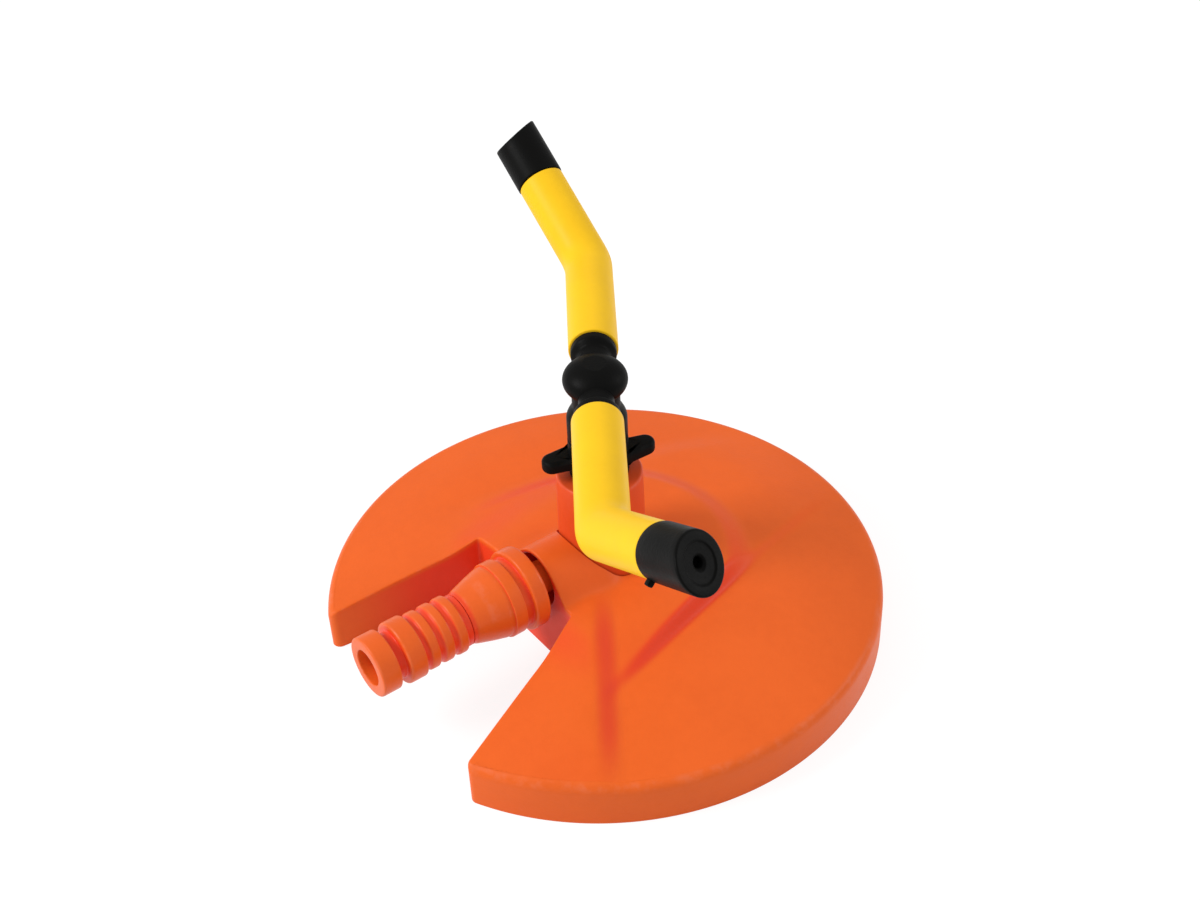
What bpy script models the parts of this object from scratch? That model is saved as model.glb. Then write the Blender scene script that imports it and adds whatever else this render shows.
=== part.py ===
"""Two-arm lawn sprinkler: a moulded base disc, a riser, a quick hose connector and a spinning head.

Lengths are in metres and +Z is up. The origin is on the riser's axis at ground level, and the hose
comes in along -Y. Places called "out" are distances along the inlet axis, from the riser's axis
towards the hose.
"""

from math import acos, asin, atan2, cos, degrees, hypot, pi, radians, sin, sqrt, tan

import bmesh
import bpy
import numpy as np
from mathutils import Matrix, Vector

# Fits
CLEARANCE = 0.0003
SEAL_GAP = 0.00025

# Base disc
DISC_RADIUS = 0.125
RIM_HEIGHT = 0.0207
RIM_ROUNDING = 0.0035
SHELL_WALL = 0.0025
ROOF_REACH = 0.0035
DOME_RISE = 0.0094

# Mound in the middle of the disc
MOUND_HEIGHT = 0.0362
MOUND_CENTRE = 0.010
MOUND_SQUASH = 0.9
MOUND_RADIUS = 0.045
MOUND_SOFTNESS = 0.0125
MOUND_FALL = 0.041
MOUND_REACH = 0.125
MOUND_POWER = 1.15
MOUND_BLEND = 0.0015
MOUND_FRONT = 0.0625
MOUND_FRONT_FADE = 0.0275

# Banks on both sides of the mound, from the notch to the back of the disc
BANK_FRONT = -0.051
BANK_BACK = 0.115
NEAR_BANK_HALF = 0.0622
NEAR_BANK_BACK_HALF = 0.021
NEAR_BANK_FALL = 0.0065
FAR_BANK_HALF = 0.0725
FAR_BANK_BACK_HALF = 0.0294
FAR_BANK_FALL = 0.0165

# Terrace behind the mound, and the hollow beside the far bank
TERRACE_RADIUS = 0.0538
TERRACE_FALL = 0.015
TERRACE_START = 0.0062
TERRACE_BLEND = 0.0312
TERRACE_LIFT = 0.002
TERRACE_FADE = 0.0375
HOLLOW_DEPTH = 0.002
HOLLOW_SIDE = 0.0375
HOLLOW_SIDE_FADE = 0.025
HOLLOW_RIM = 0.106
HOLLOW_RIM_FADE = 0.0375
HOLLOW_FRONT = 0.0687
HOLLOW_FRONT_FADE = 0.0437
HOLLOW_BACK = 0.0875
HOLLOW_BACK_FADE = 0.0625

# Shallow crest that runs from the mound to the rim, with a valley beside it
CREST_AZIMUTH = radians(-35.0)
CREST_HEIGHT = 0.0028
CREST_ASIDE = 0.0075
CREST_FLANK = 0.0525
VALLEY_WIDTH = 0.0125
VALLEY_DEPTH = 1.5
VALLEY_REACH = 0.0425
CREST_START = 0.010
CREST_END = 0.1375
CREST_FADE = 0.04375

# Notch for the hose, and the hood that the inlet comes out of
NOTCH_BACK = 0.036
NOTCH_RIGHT = 0.0256
NOTCH_RIGHT_SPLAY = radians(21.1)
NOTCH_LEFT = 0.0473
NOTCH_LEFT_SPLAY = radians(6.0)
NOTCH_CORNER = 0.0035
NOTCH_OVERRUN = 0.030
INLET_HOLE_GAP = 0.0010
HOOD_RISE = 0.0146
HOOD_HALF = 0.0190
HOOD_BLEND = 0.0030
HOOD_FADE = 0.0120

# Underside of the shell
HUB_WALL = 0.0023
HUB_BOTTOM = 0.024
RIB_ROOT_DEPTH = 0.0016
RIB_THICKNESS = 0.002
RIB_STEP = radians(36.0)
RIB_NUMBERS = (-1, 0, 1, 2, 3, 4, 5, 6)
BOSS_RADIUS = 0.004
PILOT_DEPTH = 0.0115

# Riser
FOOT_RADIUS = 0.020
FOOT_HEIGHT = 0.005
FLANGE_RADIUS = 0.032
FLANGE_THICKNESS = 0.003
RISER_BASE_RADIUS = 0.0199
RISER_TOP_RADIUS = 0.0188
RISER_HEIGHT = 0.0825
RISER_SHOULDER = 0.0012
RISER_BORE = 0.0165
RISER_FLOOR = 0.003
RISER_ROOF = 0.0025
NECK_RADIUS = 0.0096
NECK_BORE = 0.0080
NECK_HEIGHT = 0.0095
LUG_RADIUS = 0.0110
LUG_RISE = 0.0055
LUG_THICKNESS = 0.003
LUG_HALF_ANGLE = radians(27.0)

# Screws through the riser's flange
SCREW_CIRCLE = 0.027
SCREW_RADIUS = 0.0017
SCREW_LENGTH = 0.0143
SCREW_HEAD_RADIUS = 0.0035
SCREW_HEAD_ROUNDING = 0.0007
SCREW_HEAD_HEIGHT = 0.0021
SCREW_CROSS_WIDTH = 0.0009
SCREW_CROSS_LENGTH = 0.0042
SCREW_CROSS_DEPTH = 0.0012

# Port, filter screen and inlet plug
INLET_HEIGHT = 0.0394
PORT_FACE = 0.0183
PORT_BOSS_RADIUS = 0.0115
PORT_BOSS_START = 0.006
PORT_BORE = 0.0075
PORT_THROAT = 0.0055
SCREEN_SEAT = 0.008
SCREEN_THICKNESS = 0.0008
SCREEN_HOLE = 0.0010
SCREEN_HOLE_CIRCLE = 0.0035
SCREEN_HOLE_COUNT = 6
PLUG_WASHER_THICKNESS = 0.0014
PLUG_FLANGE_RADIUS = 0.0108
PLUG_FLANGE_THICKNESS = 0.0037
PLUG_BORE = 0.0046
STEM_RADIUS = 0.0075
STEM_END = 0.062
STEM_CHAMFER = 0.0008
LATCH_RADIUS = 0.0063

# Hose connector
CONNECTOR_FRONT = 0.0425
FRONT_TUBE_RADIUS = 0.0133
CLAW_START = 0.046
CLAW_LENGTH = 0.003
CLAW_WIDTH = 0.004
CLAW_COUNT = 3
CONNECTOR_SEAL_MEAN = 0.00835
CONNECTOR_SEAL_SECTION = 0.0006
CONNECTOR_SEAL_OUT = 0.0555
COLLAR_RING_RADIUS = 0.0173
COLLAR_RING_FRONT = 0.0525
COLLAR_RING_LENGTH = 0.0057
BARREL_RADIUS = 0.0164
BARREL_END_RADIUS = 0.0126
BARREL_END = 0.0737
BARREL_SHOULDER = 0.0013
BARREL_BULGE = 0.0002
SPIGOT_RADIUS = 0.0098
SPIGOT_END = 0.091
TAIL_RADIUS = 0.0063
TAIL_ROOT = 0.0056
TAIL_BORE = 0.0042
TAIL_END = 0.112
BARB_PITCH = 0.005
BARB_LENGTH = 0.004
BARB_COUNT = 3

# Release sleeve and its spring
SLEEVE_FRONT = 0.0412
SLEEVE_RADIUS = 0.01875
SLEEVE_LENGTH = 0.0073
SLEEVE_LIP = 0.0028
SLEEVE_TAIL_WALL = 0.0008
SLEEVE_TAIL_END = 0.053
SLEEVE_TRAVEL = 0.0035
SLEEVE_SPARE = 0.0005
SLEEVE_CHAMFER = 0.0009
SPRING_WIRE = 0.0009
SPRING_MEAN = 0.01445
SPRING_TURNS = 4

# Clamp nut and hose gripper
NUT_FRONT = 0.0765
NUT_LIP_RADIUS = 0.0119
NUT_LIP_END = 0.0795
NUT_RIB_RADIUS = 0.0132
NUT_RIB_ROOT = 0.0121
NUT_RIB_PITCH = 0.0070
NUT_RIB_GROOVE = 0.0022
NUT_RIB_COUNT = 3
NUT_BAND_RADIUS = 0.0141
NUT_BAND_END = 0.1087
NUT_GROOVE_RADIUS = 0.0105
NUT_GROOVE_END = 0.1130
NUT_END_RADIUS = 0.0136
NUT_END = 0.1219
NUT_CHAMFER = 0.0008
HOSE_BORE = 0.0082
GRIPPER_START = 0.0925
GRIPPER_LENGTH = 0.0080
GRIPPER_WALL = 0.0017
GRIPPER_SLIT = 0.0016

# Wing collar
COLLAR_RADIUS = 0.0130
COLLAR_ROOF = 0.0033
COLLAR_CHAMFER = 0.0006
COLLAR_GAP_HALF_ANGLE = radians(32.0)
WING_AZIMUTH = radians(69.0)
WING_TIP = 0.0250
WING_LOBE = 0.0045
WING_FLARE = radians(40.0)
WING_RISE = 0.0051
WING_THICKNESS = 0.0062
WING_ROOT_DEPTH = 0.0006

# Bearing under the head
GASKET_THICKNESS = 0.0018
BUSH_FLANGE_THICKNESS = 0.003
BUSH_LENGTH = 0.0104
SPINDLE_RADIUS = 0.0060
SPINDLE_BORE = 0.0038
SPINDLE_TAIL = 0.0018
SPINDLE_TOP_DROP = 0.0095
SPINDLE_SEAL_SECTION = 0.0005
SPINDLE_SEAL_RISE = 0.0065
UPPER_WASHER_THICKNESS = 0.0012
UPPER_WASHER_RADIUS = 0.0083
LOWER_WASHER_THICKNESS = 0.0014
RING_THICKNESS = 0.0014
RING_DEPTH = 0.0008
RING_GAP = radians(22.0)

# Head hub
BALL_RADIUS = 0.0137
BALL_HALF_HEIGHT = 0.0088
BALL_RISE = 0.0300
ARM_AXIS_RISE = 0.0268
BALL_FLAT = 0.0052
HUB_SKIRT_RADIUS = 0.0129
HUB_SKIRT_HEIGHT = 0.0118
HUB_WAIST_RADIUS = 0.0102
HUB_WAIST_RISE = 0.0168
NOSE_RADIUS = 0.0080
HUB_CHANNEL = 0.0050
HUB_NECK_RADIUS = 0.0075
CUP_RADIUS = 0.0099
CUP_START = 0.0197
CUP_FLARE = 0.0012
CUP_FACE = 0.0247
HUB_SPIGOT_END = 0.040
HUB_SPIGOT_BORE = 0.0055
HUB_SPIGOT_CHAMFER = 0.0006
ARM_SEAL_OUT = 0.034

# Arms
ARM_AZIMUTH = radians(-34.7)
ARM_RADIUS = 0.01075
ARM_WALL = 0.00205
ARM_REACH = 0.0926
ARM_BEND_RADIUS = 0.0113
ARM_TIP_LENGTH = 0.0474
TIP_TURN = radians(28.7)
TIP_RISE = radians(28.25)

# Nozzles
NOZZLE_RADIUS = 0.0111
NOZZLE_LENGTH = 0.027
NOZZLE_CHAMFER = 0.0008
NOZZLE_SLANT = radians(27.5)
NOZZLE_ROLL = radians(127.0)
NOZZLE_SPIGOT_START = 0.033
NOZZLE_SEAL_OUT = 0.0385
NOZZLE_CHAMBER = 0.0065
NOZZLE_END_WALL = 0.0057
ORIFICE_RADIUS = 0.0020
POINTER_ANGLE = radians(183.0)
POINTER_RADIUS = 0.0134
POINTER_WIDTH = 0.0026
POINTER_LENGTH = 0.0030
POINTER_OFFSET = 0.0009
SEAL_SECTION = 0.00055

# Fineness of the round shapes
DISC_STEPS = 80
DISC_RINGS = 12
CAVITY_STEPS = 48
CAVITY_RINGS = 12
ROUND_STEPS = 32
SMALL_STEPS = 24
SCREW_STEPS = 10
SEAL_STEPS = 16
SEAL_SIDES = 5
BEND_STEPS = 4
BALL_STEPS = 8
TUBE_SETTING = 8
SPRING_POINTS = 10
MERGE = 0.00001
OVERSHOOT = 0.001
LEVEL = 0.1

# Places along the riser's axis that follow from the sizes
FLANGE_TOP = FOOT_HEIGHT + FLANGE_THICKNESS
UNDERSIDE = FLANGE_TOP + CLEARANCE
NECK_TOP = RISER_HEIGHT + NECK_HEIGHT
LUG_BOTTOM = RISER_HEIGHT + LUG_RISE
COLLAR_BOTTOM = RISER_HEIGHT + CLEARANCE
GASKET_BOTTOM = NECK_TOP + CLEARANCE
BUSH_FLANGE_BOTTOM = GASKET_BOTTOM + GASKET_THICKNESS + CLEARANCE
BUSH_TOP = BUSH_FLANGE_BOTTOM + BUSH_FLANGE_THICKNESS
BUSH_BOTTOM = BUSH_FLANGE_BOTTOM - BUSH_LENGTH
CHAMBER_TOP = BUSH_TOP + CLEARANCE
COLLAR_TOP = CHAMBER_TOP + COLLAR_ROOF
NOSE_BOTTOM = CHAMBER_TOP + UPPER_WASHER_THICKNESS + CLEARANCE
SKIRT_BOTTOM = COLLAR_TOP + CLEARANCE
BALL_HEIGHT = COLLAR_TOP + BALL_RISE
ARM_AXIS_HEIGHT = COLLAR_TOP + ARM_AXIS_RISE
LOWER_WASHER_BOTTOM = BUSH_BOTTOM - CLEARANCE - LOWER_WASHER_THICKNESS
RING_BOTTOM = LOWER_WASHER_BOTTOM - CLEARANCE - RING_THICKNESS
RING_GROOVE_RADIUS = SPINDLE_RADIUS - RING_DEPTH
SPINDLE_BOTTOM = RING_BOTTOM - CLEARANCE - SPINDLE_TAIL
SPINDLE_TOP = ARM_AXIS_HEIGHT - SPINDLE_TOP_DROP

# Places along the inlet axis that follow from the sizes
PLUG_START = SCREEN_SEAT + SCREEN_THICKNESS + 2 * CLEARANCE
PLUG_FLANGE_START = PORT_FACE + PLUG_WASHER_THICKNESS + 2 * CLEARANCE
SLEEVE_COUNTERBORE_START = SLEEVE_FRONT + SLEEVE_LIP
SPRING_POCKET_END = SLEEVE_TAIL_END + SLEEVE_TRAVEL + SLEEVE_SPARE
NUT_BAND_START = NUT_LIP_END + NUT_RIB_COUNT * NUT_RIB_PITCH

# Radii that follow from the pieces inside
HUB_HOLE = RISER_BASE_RADIUS + CLEARANCE
INLET_HOLE = max(PLUG_FLANGE_RADIUS, PORT_BOSS_RADIUS) + INLET_HOLE_GAP
CHAMBER_RADIUS = LUG_RADIUS + 2 * CLEARANCE
BUSH_RADIUS = NECK_BORE - CLEARANCE
CONNECTOR_BORE = STEM_RADIUS + CLEARANCE
SLEEVE_BORE = FRONT_TUBE_RADIUS + CLEARANCE
SLEEVE_COUNTERBORE = SPRING_MEAN + SPRING_WIRE / 2 + CLEARANCE
SLEEVE_TAIL_RADIUS = SLEEVE_COUNTERBORE + SLEEVE_TAIL_WALL
SPIGOT_BORE = SPIGOT_RADIUS + CLEARANCE
ARM_BORE = ARM_RADIUS - ARM_WALL
ARM_SPIGOT_RADIUS = ARM_BORE - CLEARANCE
ARM_SEAL_MEAN = ARM_BORE - SEAL_GAP - SEAL_SECTION
ARM_START = CUP_FACE + CLEARANCE
NOZZLE_START = ARM_TIP_LENGTH + CLEARANCE

for leftover in list(bpy.data.objects):
    bpy.data.objects.remove(leftover)


# Collections and materials


def make_collection(name):
    found = bpy.data.collections.new(name)
    bpy.context.scene.collection.children.link(found)
    return found


PIECES = make_collection("two_arm_sprinkler")
CUTTERS = make_collection("cutters")


def make_material(name, colour, roughness, metallic=0.0):
    """A plain finish with the given linear colour."""
    material = bpy.data.materials.new(name)
    material.use_nodes = True
    shader = material.node_tree.nodes["Principled BSDF"]
    shader.inputs["Base Color"].default_value = (*colour, 1.0)
    shader.inputs["Roughness"].default_value = roughness
    shader.inputs["Metallic"].default_value = metallic
    return material


ORANGE = (0.83, 0.13, 0.035)
YELLOW = (0.99, 0.58, 0.03)
BLACK = (0.012, 0.012, 0.013)
WHITE = (0.75, 0.74, 0.70)
STEEL = (0.62, 0.62, 0.61)
GREY = (0.05, 0.05, 0.052)


# Helpers that make, place, cut and join shapes


def add(name, mesh):
    found = bpy.data.objects.new(name, mesh)
    PIECES.objects.link(found)
    return found


def finish(piece, colour, roughness, metallic=0.0):
    """Give a piece a material of its own, on every face."""
    piece.data.materials.clear()
    piece.data.materials.append(make_material(f"{piece.name}_finish", colour, roughness, metallic))
    return piece


def realise(piece):
    """Turn a piece's modifiers into its mesh, for shapes that are edited further."""
    graph = bpy.context.evaluated_depsgraph_get()
    mesh = bpy.data.meshes.new_from_object(piece.evaluated_get(graph))
    piece.modifiers.clear()
    piece.data = mesh
    return piece


def turned(name, profile, axis=None, steps=ROUND_STEPS, closed=False):
    """Turn a profile of (radius, height) about the local Z axis. It runs down the outer side."""
    links = [(i, i + 1) for i in range(len(profile) - 1)]
    if closed:
        links.append((len(profile) - 1, 0))
    mesh = bpy.data.meshes.new(name)
    mesh.from_pydata([(radius, 0.0, height) for radius, height in profile], links, [])
    piece = add(name, mesh)
    piece.parent = axis
    turn = piece.modifiers.new("turn", "SCREW")
    turn.axis = "Z"
    turn.angle = 2 * pi
    turn.steps = steps
    turn.render_steps = steps
    turn.use_merge_vertices = True
    turn.merge_threshold = MERGE
    turn.use_smooth_shade = True
    return piece


def ring(name, inner, outer, low, high, axis=None, steps=ROUND_STEPS):
    """A plain ring from inner to outer radius."""
    profile = [(outer, high), (outer, low), (inner, low), (inner, high)]
    return turned(name, profile, axis, steps, closed=True)


def cylinder(name, radius, low, high, axis=None, centre=(0.0, 0.0), steps=SMALL_STEPS):
    """A round bar along the local Z axis."""
    mesh = bpy.data.meshes.new(name)
    shape = bmesh.new()
    place = Matrix.Translation((centre[0], centre[1], (low + high) / 2))
    bmesh.ops.create_cone(shape, cap_ends=True, segments=steps, radius1=radius, radius2=radius,
                          depth=high - low, matrix=place)
    shape.to_mesh(mesh)
    shape.free()
    mesh.shade_smooth()
    mesh.set_sharp_from_angle(angle=radians(40.0))
    piece = add(name, mesh)
    piece.parent = axis
    return piece


def block(name, low, high, axis=None, bevel=0.0):
    """A box between two corners, with its edges rounded if bevel is given."""
    mesh = bpy.data.meshes.new(name)
    shape = bmesh.new()
    size = [b - a for a, b in zip(low, high)]
    middle = [(a + b) / 2 for a, b in zip(low, high)]
    bmesh.ops.create_cube(shape, size=1.0)
    bmesh.ops.scale(shape, vec=size, verts=shape.verts)
    bmesh.ops.translate(shape, vec=middle, verts=shape.verts)
    shape.to_mesh(mesh)
    shape.free()
    piece = add(name, mesh)
    piece.parent = axis
    if bevel:
        edge = piece.modifiers.new("edge", "BEVEL")
        edge.width = bevel
        edge.segments = 2
    return piece


def curve_mesh(name, curve, merge):
    """Turn a curve into a closed mesh and remove the curve."""
    guide = bpy.data.objects.new(name, curve)
    bpy.context.scene.collection.objects.link(guide)
    bpy.context.view_layer.update()
    graph = bpy.context.evaluated_depsgraph_get()
    mesh = bpy.data.meshes.new_from_object(guide.evaluated_get(graph))
    bpy.data.objects.remove(guide)
    bpy.data.curves.remove(curve)
    shape = bmesh.new()
    shape.from_mesh(mesh)
    bmesh.ops.remove_doubles(shape, verts=shape.verts, dist=merge)
    bmesh.ops.recalc_face_normals(shape, faces=shape.faces)
    shape.to_mesh(mesh)
    shape.free()
    mesh.shade_smooth()
    mesh.set_sharp_from_angle(angle=radians(40.0))
    return mesh


def outline(name, points, low, high, axis=None):
    """A flat outline in the local XY plane, raised from low to high."""
    curve = bpy.data.curves.new(name, "CURVE")
    curve.dimensions = "2D"
    curve.fill_mode = "BOTH"
    curve.extrude = (high - low) / 2
    spline = curve.splines.new("POLY")
    spline.points.add(len(points) - 1)
    for target, (x, y) in zip(spline.points, points):
        target.co = (x, y, 0.0, 1.0)
    spline.use_cyclic_u = True
    mesh = curve_mesh(name, curve, MERGE)
    mesh.transform(Matrix.Translation((0.0, 0.0, (low + high) / 2)))
    piece = add(name, mesh)
    piece.parent = axis
    return piece


def tube(name, points, radius, sides_setting, axis=None):
    """A round bar along a list of points."""
    curve = bpy.data.curves.new(name, "CURVE")
    curve.dimensions = "3D"
    curve.bevel_depth = radius
    curve.bevel_resolution = sides_setting
    curve.use_fill_caps = True
    spline = curve.splines.new("POLY")
    spline.points.add(len(points) - 1)
    for target, point in zip(spline.points, points):
        target.co = (*point, 1.0)
    piece = add(name, curve_mesh(name, curve, MERGE))
    piece.parent = axis
    return piece


def combine(piece, tool, operation):
    """Cut or join piece with tool, which becomes a hidden guide."""
    PIECES.objects.unlink(tool)
    CUTTERS.objects.link(tool)
    tool.hide_render = True
    tool.display_type = "WIRE"
    change = piece.modifiers.new(tool.name, "BOOLEAN")
    change.operation = operation
    change.object = tool
    change.solver = "EXACT"
    return piece


def cut(piece, tool):
    return combine(piece, tool, "DIFFERENCE")


def join(piece, tool):
    return combine(piece, tool, "UNION")


def empty(name, location, rotation=(0.0, 0.0, 0.0), parent=None):
    """A bare frame that pieces are placed on."""
    found = bpy.data.objects.new(name, None)
    PIECES.objects.link(found)
    found.parent = parent
    found.location = location
    found.rotation_euler = rotation
    return found


def arc(centre, radius, start, end, count):
    """Points on an arc, both ends included."""
    angles = np.linspace(start, end, count)
    return [(centre[0] + radius * cos(a), centre[1] + radius * sin(a)) for a in angles]


def sector(name, inner, outer, middle, half, low, high, axis=None):
    """Part of a ring, centred on the angle middle."""
    count = 9
    points = arc((0, 0), outer, middle - half, middle + half, count)
    points += arc((0, 0), inner, middle + half, middle - half, count)
    return outline(name, points, low, high, axis)


def seal(name, mean, section, at, axis=None):
    """A rubber ring round the local Z axis."""
    bpy.ops.mesh.primitive_torus_add(major_radius=mean, minor_radius=section,
                                     major_segments=SEAL_STEPS, minor_segments=SEAL_SIDES)
    piece = bpy.context.object
    piece.name = name
    for owner in list(piece.users_collection):
        owner.objects.unlink(piece)
    PIECES.objects.link(piece)
    piece.data.shade_smooth()
    piece.parent = axis
    piece.location = (0.0, 0.0, at)
    return finish(piece, GREY, 0.55)


def seal_groove(radius, floor, middle, section):
    """Profile points of a groove for a seal in an outer side, from the upper end to the lower."""
    half = section + CLEARANCE
    top, bottom = middle + half, middle - half
    return [(radius, top), (floor, top), (floor, bottom), (radius, bottom)]


# The disc's relief


def ease(t):
    """Smooth step from 0 at t = 0 to 1 at t = 1."""
    t = np.clip(t, 0.0, 1.0)
    return t * t * (3.0 - 2.0 * t)


def soft_ramp(t, width):
    """Follows t where it is above 0 and fades to 0 below, rounded over width."""
    return 0.5 * (t + np.sqrt(t * t + width * width))


def bank(back, side, front_half, back_half, fall):
    """1 on the mound's side of a bank and 0 beyond its foot."""
    run, lean = BANK_BACK - BANK_FRONT, back_half - front_half
    length = hypot(run, lean)
    beyond = (side - front_half) * run / length - (back - BANK_FRONT) * lean / length
    return 1.0 - ease(beyond / fall)


def crest(x, y):
    """Height of the shallow crest that runs to the rim, negative in the valley beside it."""
    along = x * cos(CREST_AZIMUTH) + y * sin(CREST_AZIMUTH)
    across = y * cos(CREST_AZIMUTH) - x * sin(CREST_AZIMUTH) + CREST_ASIDE
    flank = ease(1.0 + across / CREST_FLANK)
    valley = 1.0 - VALLEY_DEPTH * ease(across / VALLEY_WIDTH)
    valley += (VALLEY_DEPTH - 1.0) * ease((across - VALLEY_WIDTH) / VALLEY_REACH)
    ends = ease((along - CREST_START) / CREST_FADE) * ease((CREST_END - along) / CREST_FADE)
    return CREST_HEIGHT * np.where(across < 0.0, flank, valley) * ends


def relief(x, y):
    """Height of the disc's top, without the hood over the inlet."""
    radius = np.hypot(x, y)
    disc = RIM_HEIGHT + DOME_RISE * (1.0 - np.clip(radius / DISC_RADIUS, 0.0, 1.0) ** 2)
    distance = np.hypot(MOUND_SQUASH * (y - MOUND_CENTRE), x)
    fall = (soft_ramp(distance - MOUND_RADIUS, MOUND_SOFTNESS) / MOUND_REACH) ** MOUND_POWER
    mound = MOUND_HEIGHT - MOUND_FALL * fall
    near = bank(y, x, NEAR_BANK_HALF, NEAR_BANK_BACK_HALF, NEAR_BANK_FALL)
    far = bank(y, -x, FAR_BANK_HALF, FAR_BANK_BACK_HALF, FAR_BANK_FALL)
    inside = np.where(x > 0.0, near, far)
    terrace = ease((radius - TERRACE_RADIUS) / TERRACE_FALL)
    terrace *= ease((y - TERRACE_START) / TERRACE_BLEND)
    lift = soft_ramp(mound - disc, MOUND_BLEND) * (1.0 - terrace)
    lift += TERRACE_LIFT * terrace * ease((DISC_RADIUS - radius) / TERRACE_FADE)
    height = disc + inside * lift * ease((y + MOUND_FRONT) / MOUND_FRONT_FADE)
    hollow = ease((-x - HOLLOW_SIDE) / HOLLOW_SIDE_FADE)
    hollow *= ease((HOLLOW_RIM - radius) / HOLLOW_RIM_FADE)
    hollow *= ease((y + HOLLOW_FRONT) / HOLLOW_FRONT_FADE)
    hollow *= ease((HOLLOW_BACK - y) / HOLLOW_BACK_FADE)
    return height - HOLLOW_DEPTH * hollow + crest(x, y)


def lowest_relief(x, y):
    """The least height of the relief at and around a point, which keeps the wall under a bank."""
    places = [(x, y)]
    for turn in np.arange(8) * (pi / 4):
        places.append((x + ROOF_REACH * cos(turn), y + ROOF_REACH * sin(turn)))
    return np.min([relief(*place) for place in places], axis=0)


def hooded_relief(x, y):
    """Height of the disc's top with the rounded hood over the inlet, which fades out behind it."""
    height = relief(x, y)
    hood = INLET_HEIGHT + HOOD_RISE * (1.0 - (x / HOOD_HALF) ** 2)
    return height + soft_ramp(hood - height, HOOD_BLEND) * ease(-y / HOOD_FADE)


def relief_disc(name, surface, radius, rounding, drop, floor, steps, rings):
    """A disc from the floor up to the surface, which is lowered by drop."""
    inner = HUB_HOLE - SHELL_WALL
    profile = [(0.0, LEVEL)]
    profile += [(float(r), LEVEL) for r in np.linspace(inner, radius - rounding, rings)]
    if rounding:
        for turn in (pi / 6, pi / 3, pi / 2):
            edge = radius - rounding * (1 - sin(turn))
            profile.append((edge, LEVEL - rounding * (1 - cos(turn))))
    profile += [(radius, floor), (0.0, floor)]
    piece = realise(turned(name, profile, steps=steps))
    count = len(piece.data.vertices)
    points = np.empty(count * 3)
    piece.data.vertices.foreach_get("co", points)
    points = points.reshape(count, 3)
    top = points[:, 2] > LEVEL / 2
    points[top, 2] += surface(points[top, 0], points[top, 1]) - LEVEL - drop
    piece.data.vertices.foreach_set("co", points.ravel())
    piece.data.update()
    return piece


# Base shell


def notch_wall(start, splay, side):
    """Start, direction and outward normal of a side wall of the notch."""
    origin = Vector((side * start, -NOTCH_BACK))
    return origin, Vector((side * sin(splay), -cos(splay))), Vector((side * cos(splay), sin(splay)))


def notch_side(start, splay, side, grow):
    """Points of one side wall from the back corner to beyond the rim."""
    origin, along, normal = notch_wall(start, splay, side)
    origin = origin + normal * grow
    back = origin - along * ((grow - normal.y * grow) / along.y)
    if grow:
        far = back + along * DISC_RADIUS
        return [tuple(back), tuple(far)]
    base = origin + normal * NOTCH_CORNER
    middle = base.dot(along)
    reach = sqrt(middle**2 - base.length_squared + (DISC_RADIUS - NOTCH_CORNER) ** 2) - middle
    centre = base + along * reach
    on_wall, on_rim = -normal, centre.normalized()
    start_angle = atan2(on_wall.y, on_wall.x)
    turn = on_wall.angle_signed(on_rim)
    points = arc(centre, NOTCH_CORNER, start_angle, start_angle - turn, 5)
    far = on_rim * (DISC_RADIUS + NOTCH_OVERRUN)
    return [tuple(back), *points, tuple(far)]


def notch_outline(grow):
    """Plan of the notch, with all its walls moved out by grow."""
    right = notch_side(NOTCH_RIGHT, NOTCH_RIGHT_SPLAY, 1, grow)
    left = notch_side(NOTCH_LEFT, NOTCH_LEFT_SPLAY, -1, grow)
    return right + left[::-1]


def make_cavity(inlet):
    """The space under the shell: what is left out of it stays as walls, ribs and bosses."""
    cavity = relief_disc("cavity", lowest_relief, DISC_RADIUS - SHELL_WALL, 0.0, SHELL_WALL, -OVERSHOOT,
                         CAVITY_STEPS, CAVITY_RINGS)
    cut(cavity, outline("notch_walls", notch_outline(SHELL_WALL), -2 * OVERSHOOT, LEVEL))
    cut(cavity, cylinder("inlet_hole_wall", INLET_HOLE + SHELL_WALL, -SHELL_WALL, DISC_RADIUS, inlet,
                         steps=ROUND_STEPS))
    hub = HUB_HOLE + HUB_WALL
    cut(cavity, cylinder("hub_wall", hub, HUB_BOTTOM, LEVEL, steps=ROUND_STEPS))
    for number in RIB_NUMBERS:
        frame = empty(f"rib_frame_{number + 2}", (0, 0, 0), (0, 0, number * RIB_STEP))
        rib = block(f"rib_{number + 2}", (hub - RIB_ROOT_DEPTH, -RIB_THICKNESS / 2, UNDERSIDE),
                    (DISC_RADIUS, RIB_THICKNESS / 2, LEVEL), frame)
        cut(cavity, rib)
    for number, place in enumerate(screw_places(), 1):
        cut(cavity, cylinder(f"screw_boss_{number}", BOSS_RADIUS, UNDERSIDE, LEVEL, centre=place))
    return cavity


def screw_places():
    """Centres of the screws, on a circle round the riser."""
    return arc((0, 0), SCREW_CIRCLE, pi / 4, pi / 4 + 1.5 * pi, 4)


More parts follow.
